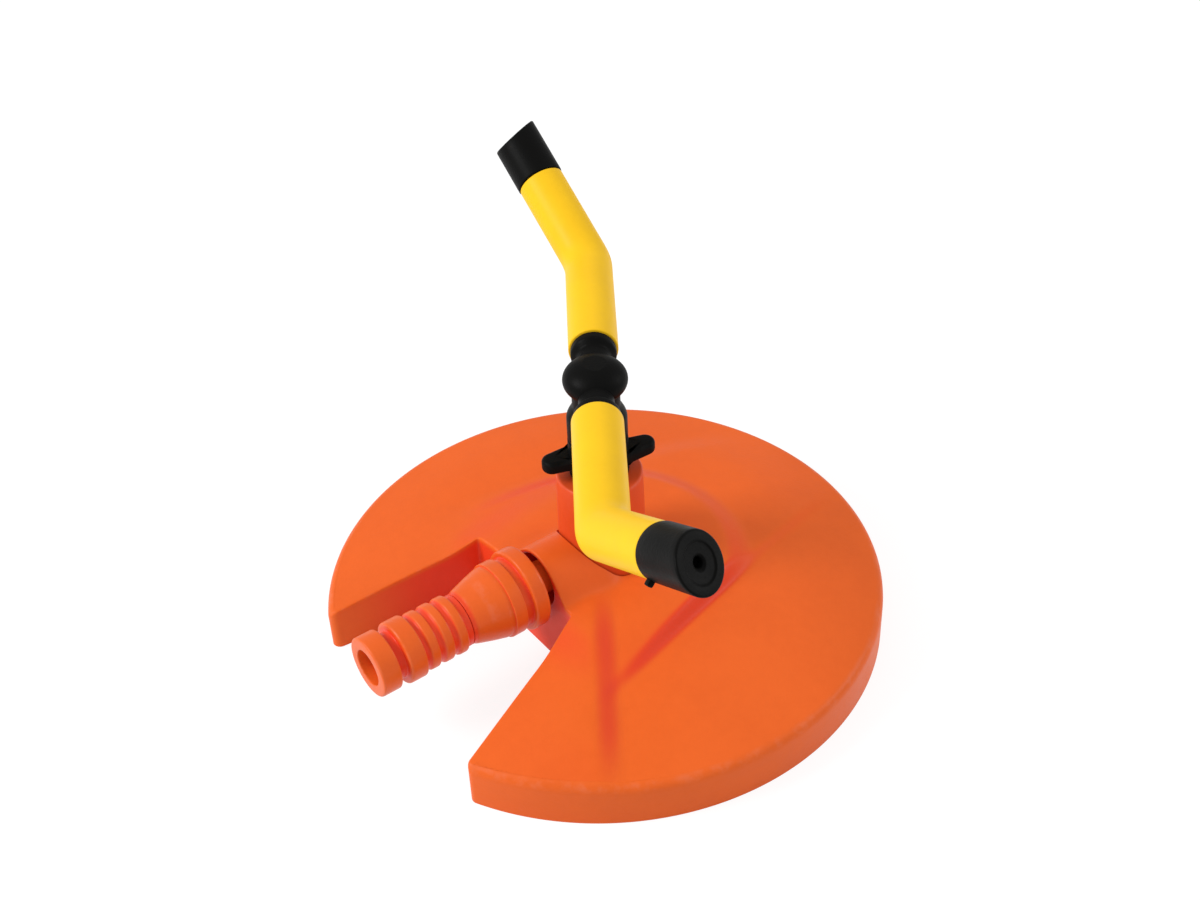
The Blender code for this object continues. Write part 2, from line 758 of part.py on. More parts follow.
def make_base_shell(inlet):
    shell = relief_disc("base_shell", hooded_relief, DISC_RADIUS, RIM_ROUNDING, 0.0, 0.0,
                        DISC_STEPS, DISC_RINGS)
    cut(shell, outline("notch", notch_outline(0.0), -OVERSHOOT, LEVEL))
    cut(shell, cylinder("inlet_hole", INLET_HOLE, 0.0, DISC_RADIUS, inlet, steps=ROUND_STEPS))
    cut(shell, make_cavity(inlet))
    cut(shell, cylinder("hub_hole", HUB_HOLE, -OVERSHOOT, LEVEL, steps=ROUND_STEPS))
    for number, place in enumerate(screw_places(), 1):
        cut(shell, cylinder(f"pilot_{number}", SCREW_RADIUS + CLEARANCE, 0.0,
                            UNDERSIDE + PILOT_DEPTH, centre=place, steps=SCREW_STEPS))
    return finish(shell, ORANGE, 0.45)


# Riser and its screws


def make_riser(inlet):
    """Hollow post with a foot, a screw flange, a port for the inlet plug and a bayonet neck."""
    profile = [
        (0.0, RISER_FLOOR),
        (RISER_BORE, RISER_FLOOR),
        (RISER_BORE, RISER_HEIGHT - RISER_ROOF),
        (NECK_BORE, RISER_HEIGHT - RISER_ROOF),
        (NECK_BORE, NECK_TOP),
        (NECK_RADIUS, NECK_TOP),
        (NECK_RADIUS, RISER_HEIGHT),
        (RISER_TOP_RADIUS - RISER_SHOULDER, RISER_HEIGHT),
        (RISER_TOP_RADIUS, RISER_HEIGHT - RISER_SHOULDER),
        (RISER_BASE_RADIUS, FLANGE_TOP),
        (FLANGE_RADIUS, FLANGE_TOP),
        (FLANGE_RADIUS, FOOT_HEIGHT),
        (FOOT_RADIUS, FOOT_HEIGHT),
        (FOOT_RADIUS, 0.0),
        (0.0, 0.0),
    ]
    riser = turned("riser", profile)
    join(riser, cylinder("port_boss", PORT_BOSS_RADIUS, PORT_BOSS_START, PORT_FACE, inlet,
                         steps=ROUND_STEPS))
    for number, middle in enumerate((0.0, pi), 1):
        join(riser, sector(f"lug_{number}", (NECK_BORE + NECK_RADIUS) / 2, LUG_RADIUS, middle,
                           LUG_HALF_ANGLE, LUG_BOTTOM, LUG_BOTTOM + LUG_THICKNESS))
    cut(riser, cylinder("port_face", PORT_BOSS_RADIUS + CLEARANCE, PORT_FACE,
                        PORT_FACE + PORT_BOSS_RADIUS, inlet, steps=ROUND_STEPS))
    cut(riser, cylinder("port_bore", PORT_BORE, SCREEN_SEAT, PORT_FACE + OVERSHOOT, inlet))
    cut(riser, cylinder("port_throat", PORT_THROAT, PORT_BOSS_START - OVERSHOOT,
                        SCREEN_SEAT + OVERSHOOT, inlet))
    for number, place in enumerate(screw_places(), 1):
        cut(riser, cylinder(f"flange_hole_{number}", SCREW_RADIUS + CLEARANCE,
                            FOOT_HEIGHT - OVERSHOOT, FLANGE_TOP + OVERSHOOT, centre=place,
                            steps=SCREW_STEPS))
    return finish(riser, ORANGE, 0.42)


def make_riser_screws():
    """Cross-head screws that hold the riser's flange up under the shell."""
    head_top = FOOT_HEIGHT - CLEARANCE
    head_bottom = head_top - SCREW_HEAD_HEIGHT
    profile = [
        (0.0, head_top + SCREW_LENGTH),
        (SCREW_RADIUS / 2, head_top + SCREW_LENGTH),
        (SCREW_RADIUS, head_top + SCREW_LENGTH - SCREW_RADIUS),
        (SCREW_RADIUS, head_top),
        (SCREW_HEAD_RADIUS, head_top),
        (SCREW_HEAD_RADIUS, head_top - SCREW_HEAD_HEIGHT / 2),
        (SCREW_HEAD_RADIUS - SCREW_HEAD_ROUNDING, head_bottom),
        (0.0, head_bottom),
    ]
    for number, (x, y) in enumerate(screw_places(), 1):
        screw = turned(f"riser_screw_{number}", profile, steps=SCREW_STEPS)
        screw.location = (x, y, 0.0)
        for way, half in enumerate(((1.0, 0.0), (0.0, 1.0))):
            reach = [SCREW_CROSS_LENGTH / 2 if on else SCREW_CROSS_WIDTH / 2 for on in half]
            slot = block(f"cross_{number}_{way}", (-reach[0], -reach[1], head_bottom - OVERSHOOT),
                         (reach[0], reach[1], head_bottom + SCREW_CROSS_DEPTH))
            slot.location = (x, y, 0.0)
            cut(screw, slot)
        finish(screw, STEEL, 0.3, 1.0)


# Inlet plug and what it holds


def make_filter_screen(inlet):
    start = SCREEN_SEAT + CLEARANCE
    screen = cylinder("filter_screen", PORT_BORE - CLEARANCE, start, start + SCREEN_THICKNESS, inlet)
    places = arc((0, 0), SCREEN_HOLE_CIRCLE, 0.0, 2 * pi * (1 - 1 / SCREEN_HOLE_COUNT),
                 SCREEN_HOLE_COUNT)
    for number, place in enumerate([(0.0, 0.0), *places]):
        cut(screen, cylinder(f"screen_hole_{number}", SCREEN_HOLE, start - OVERSHOOT,
                             start + SCREEN_THICKNESS + OVERSHOOT, inlet, place, SEAL_SIDES))
    return finish(screen, STEEL, 0.35, 1.0)


def make_inlet_plug(inlet):
    """Threaded plug with a hexagonal flange and the stem that the connector snaps on."""
    latch_start = CLAW_START - CLEARANCE
    latch_end = CLAW_START + CLAW_LENGTH + CLEARANCE
    shank = PORT_BORE - CLEARANCE
    flange_end = PLUG_FLANGE_START + PLUG_FLANGE_THICKNESS
    profile = [
        (STEM_RADIUS - STEM_CHAMFER, STEM_END),
        (STEM_RADIUS, STEM_END - 2 * STEM_CHAMFER),
        (STEM_RADIUS, latch_end),
        (LATCH_RADIUS, latch_end),
        (LATCH_RADIUS, latch_start),
        (STEM_RADIUS, latch_start),
        (STEM_RADIUS, PLUG_FLANGE_START + PLUG_FLANGE_THICKNESS / 2),
        (shank, PLUG_FLANGE_START + PLUG_FLANGE_THICKNESS / 2),
        (shank, PLUG_START),
        (PLUG_BORE, PLUG_START),
        (PLUG_BORE, STEM_END),
    ]
    plug = turned("inlet_plug", profile, inlet, SMALL_STEPS, closed=True)
    hexagon = cylinder("plug_hexagon", PLUG_FLANGE_RADIUS, PLUG_FLANGE_START, flange_end, inlet, steps=6)
    cut(hexagon, cylinder("hexagon_bore", (PLUG_BORE + shank) / 2, PLUG_FLANGE_START - OVERSHOOT,
                          flange_end + OVERSHOOT, inlet, steps=ROUND_STEPS))
    join(plug, hexagon)
    return finish(plug, ORANGE, 0.4)


def make_plug_washer(inlet):
    start = PORT_FACE + CLEARANCE
    washer = ring("plug_washer", PORT_BORE, PORT_BOSS_RADIUS - 3 * CLEARANCE, start,
                  start + PLUG_WASHER_THICKNESS, inlet, SMALL_STEPS)
    return finish(washer, GREY, 0.6)


# Hose connector


def make_connector_body(inlet):
    """Front tube, spring pocket, ring and tapered barrel, threaded spigot and barbed hose tail."""
    seal_half = CONNECTOR_SEAL_SECTION + CLEARANCE
    seal_floor = CONNECTOR_SEAL_MEAN + CONNECTOR_SEAL_SECTION + SEAL_GAP
    ring_end = COLLAR_RING_FRONT + COLLAR_RING_LENGTH
    pocket = SLEEVE_TAIL_RADIUS + CLEARANCE
    shoulder = BARREL_END + BARREL_SHOULDER
    profile = [(TAIL_ROOT, TAIL_END)]
    for number in range(BARB_COUNT):
        tip = TAIL_END - OVERSHOOT - number * BARB_PITCH
        profile += [(TAIL_ROOT, tip), (TAIL_RADIUS, tip - BARB_LENGTH), (TAIL_ROOT, tip - BARB_LENGTH)]
    profile += [
        (TAIL_ROOT, SPIGOT_END),
        (SPIGOT_RADIUS, SPIGOT_END),
        (SPIGOT_RADIUS, NUT_FRONT - CLEARANCE),
        (NUT_LIP_RADIUS, NUT_FRONT - CLEARANCE),
        (NUT_LIP_RADIUS, shoulder),
        (BARREL_END_RADIUS, BARREL_END),
        ((BARREL_END_RADIUS + BARREL_RADIUS) / 2 + BARREL_BULGE, (BARREL_END + ring_end) / 2),
        (BARREL_RADIUS, ring_end + BARREL_SHOULDER),
        (BARREL_RADIUS, ring_end),
        (COLLAR_RING_RADIUS, ring_end),
        (COLLAR_RING_RADIUS, COLLAR_RING_FRONT),
        (pocket, COLLAR_RING_FRONT),
        (pocket, SPRING_POCKET_END),
        (FRONT_TUBE_RADIUS, SPRING_POCKET_END),
        (FRONT_TUBE_RADIUS, CONNECTOR_FRONT),
        (CONNECTOR_BORE, CONNECTOR_FRONT),
        (CONNECTOR_BORE, CONNECTOR_SEAL_OUT - seal_half),
        (seal_floor, CONNECTOR_SEAL_OUT - seal_half),
        (seal_floor, CONNECTOR_SEAL_OUT + seal_half),
        (CONNECTOR_BORE, CONNECTOR_SEAL_OUT + seal_half),
        (CONNECTOR_BORE, STEM_END + CLEARANCE),
        (TAIL_BORE, STEM_END + CLEARANCE),
        (TAIL_BORE, TAIL_END),
    ]
    body = turned("connector_body", profile, inlet, closed=True)
    half = CLAW_WIDTH / 2 + CLEARANCE
    for number in range(CLAW_COUNT):
        frame = claw_frame(f"claw_slot_frame_{number + 1}", number, inlet)
        cut(body, block(f"claw_slot_{number + 1}",
                        (LATCH_RADIUS, -half, CLAW_START - CLEARANCE),
                        (SLEEVE_BORE, half, CLAW_START + CLAW_LENGTH + CLEARANCE), frame))
    return finish(body, ORANGE, 0.4)


def claw_frame(name, number, inlet):
    turn = pi / 2 + number * 2 * pi / CLAW_COUNT
    return empty(name, (0, 0, 0), (0, 0, turn), inlet)


def make_locking_claws(inlet):
    """Small blocks that lock the stem's groove, kept in by the release sleeve."""
    for number in range(CLAW_COUNT):
        frame = claw_frame(f"claw_frame_{number + 1}", number, inlet)
        claw = block(f"locking_claw_{number + 1}",
                     (LATCH_RADIUS + CLEARANCE, -CLAW_WIDTH / 2, CLAW_START),
                     (FRONT_TUBE_RADIUS - CLEARANCE, CLAW_WIDTH / 2, CLAW_START + CLAW_LENGTH),
                     frame, bevel=CLEARANCE)
        finish(claw, STEEL, 0.35, 1.0)


def make_release_sleeve(inlet):
    flange_end = SLEEVE_FRONT + SLEEVE_LENGTH
    profile = [
        (SLEEVE_TAIL_RADIUS, SLEEVE_TAIL_END),
        (SLEEVE_TAIL_RADIUS, flange_end),
        (SLEEVE_RADIUS - SLEEVE_CHAMFER, flange_end),
        (SLEEVE_RADIUS, flange_end - SLEEVE_CHAMFER),
        (SLEEVE_RADIUS, SLEEVE_FRONT + SLEEVE_CHAMFER),
        (SLEEVE_RADIUS - SLEEVE_CHAMFER, SLEEVE_FRONT),
        (SLEEVE_BORE, SLEEVE_FRONT),
        (SLEEVE_BORE, SLEEVE_COUNTERBORE_START),
        (SLEEVE_COUNTERBORE, SLEEVE_COUNTERBORE_START),
        (SLEEVE_COUNTERBORE, SLEEVE_TAIL_END),
    ]
    sleeve = turned("release_sleeve", profile, inlet, closed=True)
    return finish(sleeve, ORANGE, 0.4)


def spring_points():
    """Centre line of the coil, with flat end turns."""
    low = SLEEVE_COUNTERBORE_START + CLEARANCE + SPRING_WIRE / 2
    high = SPRING_POCKET_END - CLEARANCE - SPRING_WIRE / 2
    end_rise = SPRING_WIRE + 2 * CLEARANCE
    count = SPRING_TURNS * SPRING_POINTS
    points = []
    for number in range(count + 1):
        turn = number / SPRING_POINTS
        shares = [0.0, 1.0, SPRING_TURNS - 1.0, float(SPRING_TURNS)]
        heights = [low, low + end_rise, high - end_rise, high]
        height = float(np.interp(turn, shares, heights))
        angle = 2 * pi * turn
        points.append((SPRING_MEAN * cos(angle), SPRING_MEAN * sin(angle), height))
    return points


def make_sleeve_spring(inlet):
    """Coil spring in the closed space between the release sleeve and the connector body."""
    points = spring_points()
    rises = [points[i + SPRING_POINTS][2] - points[i][2] for i in range(len(points) - SPRING_POINTS)]
    print(f"sleeve_spring: least gap between turns {(min(rises) - SPRING_WIRE) * 1000:.2f} mm")
    spring = tube("sleeve_spring", points, SPRING_WIRE / 2, 1, inlet)
    return finish(spring, STEEL, 0.3, 1.0)


# Clamp nut


def make_clamp_nut(inlet):
    """Nut that closes the gripper on the hose: lip, ribs, smooth band, groove and open end ring."""
    profile = [
        (NUT_END_RADIUS - NUT_CHAMFER, NUT_END),
        (NUT_END_RADIUS, NUT_END - NUT_CHAMFER),
        (NUT_END_RADIUS, NUT_GROOVE_END),
        (NUT_GROOVE_RADIUS, NUT_GROOVE_END),
        (NUT_GROOVE_RADIUS, NUT_BAND_END),
        (NUT_BAND_RADIUS - NUT_CHAMFER, NUT_BAND_END),
        (NUT_BAND_RADIUS, NUT_BAND_END - NUT_CHAMFER),
        (NUT_BAND_RADIUS, NUT_BAND_START + NUT_CHAMFER),
        (NUT_BAND_RADIUS - NUT_CHAMFER, NUT_BAND_START),
    ]
    for number in range(NUT_RIB_COUNT):
        top = NUT_BAND_START - number * NUT_RIB_PITCH
        bottom = top - NUT_RIB_PITCH
        profile += [
            (NUT_RIB_ROOT, top),
            (NUT_RIB_ROOT, top - NUT_RIB_GROOVE),
            (NUT_RIB_RADIUS, top - NUT_RIB_GROOVE - NUT_CHAMFER),
            (NUT_RIB_RADIUS, bottom + NUT_CHAMFER / 2),
        ]
    profile += [
        (NUT_LIP_RADIUS, NUT_LIP_END),
        (NUT_LIP_RADIUS, NUT_FRONT),
        (SPIGOT_BORE, NUT_FRONT),
        (SPIGOT_BORE, GRIPPER_START + GRIPPER_LENGTH + CLEARANCE),
        (HOSE_BORE, GRIPPER_START + GRIPPER_LENGTH + CLEARANCE),
        (HOSE_BORE, NUT_END),
    ]
    nut = turned("clamp_nut", profile, inlet, closed=True)
    return finish(nut, ORANGE, 0.4)


def make_hose_gripper(inlet):
    """Split ring that the nut squeezes round the hose."""
    outer = SPIGOT_BORE - CLEARANCE
    half = pi - asin(GRIPPER_SLIT / outer)
    gripper = sector_ring("hose_gripper", outer - GRIPPER_WALL, outer, half, GRIPPER_START,
                          GRIPPER_START + GRIPPER_LENGTH, inlet)
    return finish(gripper, WHITE, 0.45)


def sector_ring(name, inner, outer, half, low, high, axis=None):
    """A split ring: its gap is centred on the local -X side."""
    points = arc((0, 0), outer, -half, half, SMALL_STEPS)
    points += arc((0, 0), inner, half, -half, SMALL_STEPS)
    return outline(name, points, low, high, axis)


# Wing collar


def wing_outline():
    """Plan of a wing along +X: a round lobe whose root flares to one side."""
    root = COLLAR_RADIUS - WING_ROOT_DEPTH
    middle = WING_TIP - WING_LOBE
    foot = Vector((root * cos(-WING_FLARE), root * sin(-WING_FLARE)))
    lean = Vector((middle, 0.0)) - foot
    tangent = atan2(lean.y, lean.x) - asin(WING_LOBE / lean.length) - pi / 2
    points = arc((middle, 0.0), WING_LOBE, tangent, pi / 2, 12)
    return points + arc((0.0, 0.0), root, asin(WING_LOBE / root), -WING_FLARE, 6)


def make_wing_collar():
    """Bayonet nut with two finger wings. Its ledge hooks under the riser's lugs."""
    ledge = LUG_BOTTOM - CLEARANCE
    bore = NECK_RADIUS + CLEARANCE
    hole = UPPER_WASHER_RADIUS + CLEARANCE
    profile = [
        (COLLAR_RADIUS - COLLAR_CHAMFER, COLLAR_TOP),
        (COLLAR_RADIUS, COLLAR_TOP - COLLAR_CHAMFER),
        (COLLAR_RADIUS, COLLAR_BOTTOM + COLLAR_CHAMFER),
        (COLLAR_RADIUS - COLLAR_CHAMFER, COLLAR_BOTTOM),
        (bore, COLLAR_BOTTOM),
        (bore, ledge),
        (CHAMBER_RADIUS, ledge),
        (CHAMBER_RADIUS, CHAMBER_TOP),
        (hole, CHAMBER_TOP),
        (hole, COLLAR_TOP),
    ]
    collar = turned("wing_collar", profile, closed=True)
    wing_low = COLLAR_BOTTOM + WING_RISE
    for number, side in enumerate((0.0, pi), 1):
        frame = empty(f"wing_frame_{number}", (0, 0, 0), (0, 0, WING_AZIMUTH + side))
        wing = outline(f"wing_{number}", wing_outline(), wing_low, wing_low + WING_THICKNESS, frame)
        join(collar, wing)
        cut(collar, sector(f"ledge_gap_{number}", NECK_RADIUS - CLEARANCE, LUG_RADIUS + CLEARANCE,
                           pi / 2 + side, COLLAR_GAP_HALF_ANGLE, COLLAR_BOTTOM - OVERSHOOT,
                           ledge + OVERSHOOT))
    return finish(collar, BLACK, 0.35)


# Bearing and spindle


def make_bearing():
    """Gasket, flanged bush and thrust washers under the head."""
    gasket = ring("neck_gasket", NECK_BORE + CLEARANCE, CHAMBER_RADIUS - CLEARANCE, GASKET_BOTTOM,
                  GASKET_BOTTOM + GASKET_THICKNESS, steps=SMALL_STEPS)
    finish(gasket, GREY, 0.6)
    flange = CHAMBER_RADIUS - CLEARANCE
    bore = SPINDLE_RADIUS + CLEARANCE
    profile = [
        (flange, BUSH_TOP),
        (flange, BUSH_FLANGE_BOTTOM),
        (BUSH_RADIUS, BUSH_FLANGE_BOTTOM),
        (BUSH_RADIUS, BUSH_BOTTOM),
        (bore, BUSH_BOTTOM),
        (bore, BUSH_TOP),
    ]
    finish(turned("bearing_sleeve", profile, steps=SMALL_STEPS, closed=True), WHITE, 0.4)
    upper = ring("thrust_washer_upper", bore, UPPER_WASHER_RADIUS, CHAMBER_TOP,
                 CHAMBER_TOP + UPPER_WASHER_THICKNESS, steps=SMALL_STEPS)
    finish(upper, WHITE, 0.4)
    lower = ring("thrust_washer_lower", bore, BUSH_RADIUS, LOWER_WASHER_BOTTOM,
                 LOWER_WASHER_BOTTOM + LOWER_WASHER_THICKNESS, steps=SMALL_STEPS)
    finish(lower, WHITE, 0.4)


def make_spindle():
    """Hollow shaft of the head, with its seal and the split ring that keeps it in."""
    seal_middle = BUSH_BOTTOM + SPINDLE_SEAL_RISE
    seal_mean = SPINDLE_RADIUS + CLEARANCE - SEAL_GAP - SPINDLE_SEAL_SECTION
    seal_floor = seal_mean - SPINDLE_SEAL_SECTION - SEAL_GAP
    profile = [(SPINDLE_RADIUS, SPINDLE_TOP)]
    profile += seal_groove(SPINDLE_RADIUS, seal_floor, seal_middle, SPINDLE_SEAL_SECTION)
    profile += [
        (SPINDLE_RADIUS, RING_BOTTOM + RING_THICKNESS + CLEARANCE),
        (RING_GROOVE_RADIUS, RING_BOTTOM + RING_THICKNESS + CLEARANCE),
        (RING_GROOVE_RADIUS, RING_BOTTOM - CLEARANCE),
        (SPINDLE_RADIUS, RING_BOTTOM - CLEARANCE),
        (SPINDLE_RADIUS, SPINDLE_BOTTOM),
        (SPINDLE_BORE, SPINDLE_BOTTOM),
        (SPINDLE_BORE, SPINDLE_TOP),
    ]
    finish(turned("spindle", profile, steps=SMALL_STEPS, closed=True), STEEL, 0.3, 1.0)
    seal("spindle_oring", seal_mean, SPINDLE_SEAL_SECTION, seal_middle)
    keeper = sector_ring("retaining_ring", RING_GROOVE_RADIUS + CLEARANCE, BUSH_RADIUS, pi - RING_GAP,
                         RING_BOTTOM, RING_BOTTOM + RING_THICKNESS)
    finish(keeper, STEEL, 0.3, 1.0)


# Head hub and arms


def hub_branch(name, axis):
    """Neck, cup and spigot of one side of the hub, as a solid bar."""
    floor = ARM_SEAL_MEAN - SEAL_SECTION - SEAL_GAP
    profile = [
        (0.0, HUB_SPIGOT_END),
        (ARM_SPIGOT_RADIUS - HUB_SPIGOT_CHAMFER, HUB_SPIGOT_END),
        (ARM_SPIGOT_RADIUS, HUB_SPIGOT_END - 2 * HUB_SPIGOT_CHAMFER),
        *seal_groove(ARM_SPIGOT_RADIUS, floor, ARM_SEAL_OUT, SEAL_SECTION),
        (ARM_SPIGOT_RADIUS, CUP_FACE),
        (CUP_RADIUS, CUP_FACE),
        (CUP_RADIUS, CUP_START + CUP_FLARE),
        (CUP_RADIUS - CUP_FLARE, CUP_START),
        (HUB_NECK_RADIUS, CUP_START - CUP_FLARE),
        (HUB_NECK_RADIUS, BALL_RADIUS / 2),
        (0.0, BALL_RADIUS / 2),
    ]
    return turned(name, profile, axis, SMALL_STEPS)


def make_head_hub(axes):
    waist_angle = -acos(HUB_WAIST_RADIUS / BALL_RADIUS)
    top_angle = acos(BALL_FLAT / BALL_RADIUS)
    profile = [(0.0, BALL_HEIGHT + BALL_HALF_HEIGHT * sin(top_angle))]
    for angle in np.linspace(top_angle, waist_angle, BALL_STEPS):
        profile.append((BALL_RADIUS * cos(angle), BALL_HEIGHT + BALL_HALF_HEIGHT * sin(angle)))
    profile += [
        (HUB_WAIST_RADIUS, COLLAR_TOP + HUB_WAIST_RISE),
        (HUB_SKIRT_RADIUS, COLLAR_TOP + HUB_SKIRT_HEIGHT),
        (HUB_SKIRT_RADIUS, SKIRT_BOTTOM),
        (NOSE_RADIUS, SKIRT_BOTTOM),
        (NOSE_RADIUS, NOSE_BOTTOM),
        (0.0, NOSE_BOTTOM),
    ]
    hub = turned("head_hub", profile)
    cut(hub, cylinder("spindle_socket", SPINDLE_RADIUS + CLEARANCE, NOSE_BOTTOM - OVERSHOOT,
                      SPINDLE_TOP + CLEARANCE, steps=ROUND_STEPS))
    cut(hub, cylinder("rising_channel", HUB_CHANNEL, SPINDLE_TOP - OVERSHOOT,
                      ARM_AXIS_HEIGHT - OVERSHOOT))
    for side, axis in axes.items():
        join(hub, hub_branch(f"hub_branch_{side}", axis))
    end = HUB_SPIGOT_END + OVERSHOOT
    cut(hub, cylinder("cross_channel", HUB_SPIGOT_BORE, -end, end, axes["a"]))
    return finish(hub, BLACK, 0.35)


def arm_path(extra):
    """Centre line of an arm in its head frame: a straight run along +X, a bend, a straight tip."""
    first = Vector((1.0, 0.0, 0.0))
    tip = Vector((cos(TIP_RISE) * cos(TIP_TURN), cos(TIP_RISE) * sin(TIP_TURN), sin(TIP_RISE)))
    bend = first.angle(tip)
    side = (tip - first * tip.dot(first)).normalized()
    setback = ARM_BEND_RADIUS * tan(bend / 2)
    corner = first * ARM_REACH
    points = [first * (ARM_START - extra)]
    for angle in np.linspace(0.0, bend, BEND_STEPS):
        swing = first * sin(angle) + side * (1 - cos(angle))
        points.append(corner - first * setback + swing * ARM_BEND_RADIUS)
    points.append(corner + tip * (ARM_TIP_LENGTH + extra))
    return points


def make_arm(side, head_frame):
    arm = tube(f"arm_{side}", arm_path(0.0), ARM_RADIUS, TUBE_SETTING, head_frame)
    cut(arm, tube(f"arm_bore_{side}", arm_path(OVERSHOOT), ARM_BORE, TUBE_SETTING, head_frame))
    return finish(arm, YELLOW, 0.3)


# Nozzles


def make_nozzle(side, axis):
    """Push-in nozzle with a slanted face and a pointer. Local Z runs out along the arm's tip."""
    floor = ARM_SEAL_MEAN - SEAL_SECTION - SEAL_GAP
    face = NOZZLE_START + NOZZLE_LENGTH
    slant_rise = NOZZLE_RADIUS * tan(NOZZLE_SLANT)
    blank_end = face + slant_rise + OVERSHOOT
    profile = [
        (0.0, blank_end),
        (NOZZLE_RADIUS, blank_end),
        (NOZZLE_RADIUS, NOZZLE_START + NOZZLE_CHAMFER),
        (NOZZLE_RADIUS - NOZZLE_CHAMFER, NOZZLE_START),
        (ARM_SPIGOT_RADIUS, NOZZLE_START),
        *seal_groove(ARM_SPIGOT_RADIUS, floor, NOZZLE_SEAL_OUT, SEAL_SECTION),
        (ARM_SPIGOT_RADIUS, NOZZLE_SPIGOT_START),
        (0.0, NOZZLE_SPIGOT_START),
    ]
    nozzle = turned(f"nozzle_{side}", profile, axis, SMALL_STEPS)
    pointer_axis = empty(f"pointer_frame_{side}", (0, 0, 0), (0, 0, POINTER_ANGLE), axis)
    start = NOZZLE_START + POINTER_OFFSET
    join(nozzle, block(f"pointer_{side}", (NOZZLE_RADIUS - OVERSHOOT, -POINTER_WIDTH / 2, start),
                       (POINTER_RADIUS, POINTER_WIDTH / 2, start + POINTER_LENGTH), pointer_axis))
    slant = empty(f"slant_frame_{side}", (0, 0, face), (0, NOZZLE_SLANT, 0), axis)
    wide = 2 * NOZZLE_RADIUS
    cut(nozzle, block(f"slant_{side}", (-wide, -wide, 0.0), (wide, wide, wide), slant))
    chamber_end = face - NOZZLE_END_WALL
    cut(nozzle, cylinder(f"chamber_{side}", NOZZLE_CHAMBER, NOZZLE_SPIGOT_START - OVERSHOOT,
                         chamber_end, axis))
    cut(nozzle, cylinder(f"orifice_{side}", ORIFICE_RADIUS, chamber_end - OVERSHOOT, blank_end, axis,
                         steps=SCREW_STEPS))
    return finish(nozzle, BLACK, 0.35)


def make_head():
    """The spinning head: hub, two arms half a turn apart, and their nozzles and seals."""
    branch_axes = {}
    for side, turn in (("a", 0.0), ("b", pi)):
        frame = empty(f"head_frame_{side}", (0, 0, ARM_AXIS_HEIGHT), (0, 0, ARM_AZIMUTH + turn))
        branch_axes[side] = empty(f"branch_axis_{side}", (0, 0, 0), (0, pi / 2, 0), frame)
        make_arm(side, frame)
        seal(f"arm_oring_{side}", ARM_SEAL_MEAN, SEAL_SECTION, ARM_SEAL_OUT, branch_axes[side])
        tip = empty(f"tip_axis_{side}", (ARM_REACH, 0, 0), (0, pi / 2 - TIP_RISE, TIP_TURN), frame)
        roll = empty(f"nozzle_axis_{side}", (0, 0, 0), (0, 0, NOZZLE_ROLL), tip)
        make_nozzle(side, roll)
        seal(f"nozzle_oring_{side}", ARM_SEAL_MEAN, SEAL_SECTION, NOZZLE_SEAL_OUT, roll)
    make_head_hub(branch_axes)


def main():
    inlet = empty("inlet_axis", (0, 0, INLET_HEIGHT), (pi / 2, 0, 0))
    make_base_shell(inlet)
    make_riser(inlet)
    make_riser_screws()
    make_filter_screen(inlet)
    make_plug_washer(inlet)
    make_inlet_plug(inlet)
    make_connector_body(inlet)
    make_locking_claws(inlet)
    seal("connector_oring", CONNECTOR_SEAL_MEAN, CONNECTOR_SEAL_SECTION, CONNECTOR_SEAL_OUT, inlet)
    make_release_sleeve(inlet)
    make_sleeve_spring(inlet)
    make_clamp_nut(inlet)
    make_hose_gripper(inlet)
    make_wing_collar()
    make_bearing()
    make_spindle()
    make_head()
    bpy.context.view_layer.update()
    print(f"disc {DISC_RADIUS * 2000:.0f} mm across, arms turned {degrees(ARM_AZIMUTH):.1f} degrees")


main()
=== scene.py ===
"""Two-arm lawn sprinkler: the finished look of every piece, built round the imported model.

Lengths are in metres, +Z is up and the riser stands on the Z axis. "Out" is the distance along the
inlet axis, which runs from the riser towards the hose along -Y, the front. A section is half the
outline of a turned piece: rows of the distance from its axis, the distance along it and the corner's
rounding.
"""

import bmesh
import bpy
import numpy as np
from mathutils import Matrix, Vector


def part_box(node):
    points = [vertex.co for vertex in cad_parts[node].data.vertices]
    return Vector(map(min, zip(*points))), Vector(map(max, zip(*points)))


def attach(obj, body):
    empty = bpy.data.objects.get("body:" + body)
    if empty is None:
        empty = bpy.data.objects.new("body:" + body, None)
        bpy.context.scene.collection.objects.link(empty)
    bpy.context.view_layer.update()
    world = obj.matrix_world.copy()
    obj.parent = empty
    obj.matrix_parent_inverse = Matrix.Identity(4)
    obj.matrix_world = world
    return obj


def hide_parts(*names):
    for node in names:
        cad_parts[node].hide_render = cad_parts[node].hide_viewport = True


bl_info = {
    "name": "Two-arm sprinkler",
    "version": (1, 0, 0),
    "blender": (4, 5, 0),
    "location": "View3D > Sidebar > Sprinkler",
    "description": "Builds the base, riser, hose connector and spinning head of a lawn sprinkler",
    "category": "Add Mesh",
}

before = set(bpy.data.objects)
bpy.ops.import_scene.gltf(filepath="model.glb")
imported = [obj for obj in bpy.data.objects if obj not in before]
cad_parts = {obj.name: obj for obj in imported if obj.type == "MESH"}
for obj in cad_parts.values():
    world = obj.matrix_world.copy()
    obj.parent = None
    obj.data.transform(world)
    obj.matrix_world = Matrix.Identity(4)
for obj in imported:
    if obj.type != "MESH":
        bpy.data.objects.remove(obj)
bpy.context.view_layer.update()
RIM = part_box("base_shell")[1].x
DEGREE = np.pi / 180
FRONT = -90 * DEGREE
SEAT_GAP = 0.0003
MERGE_DISTANCE = 0.00001

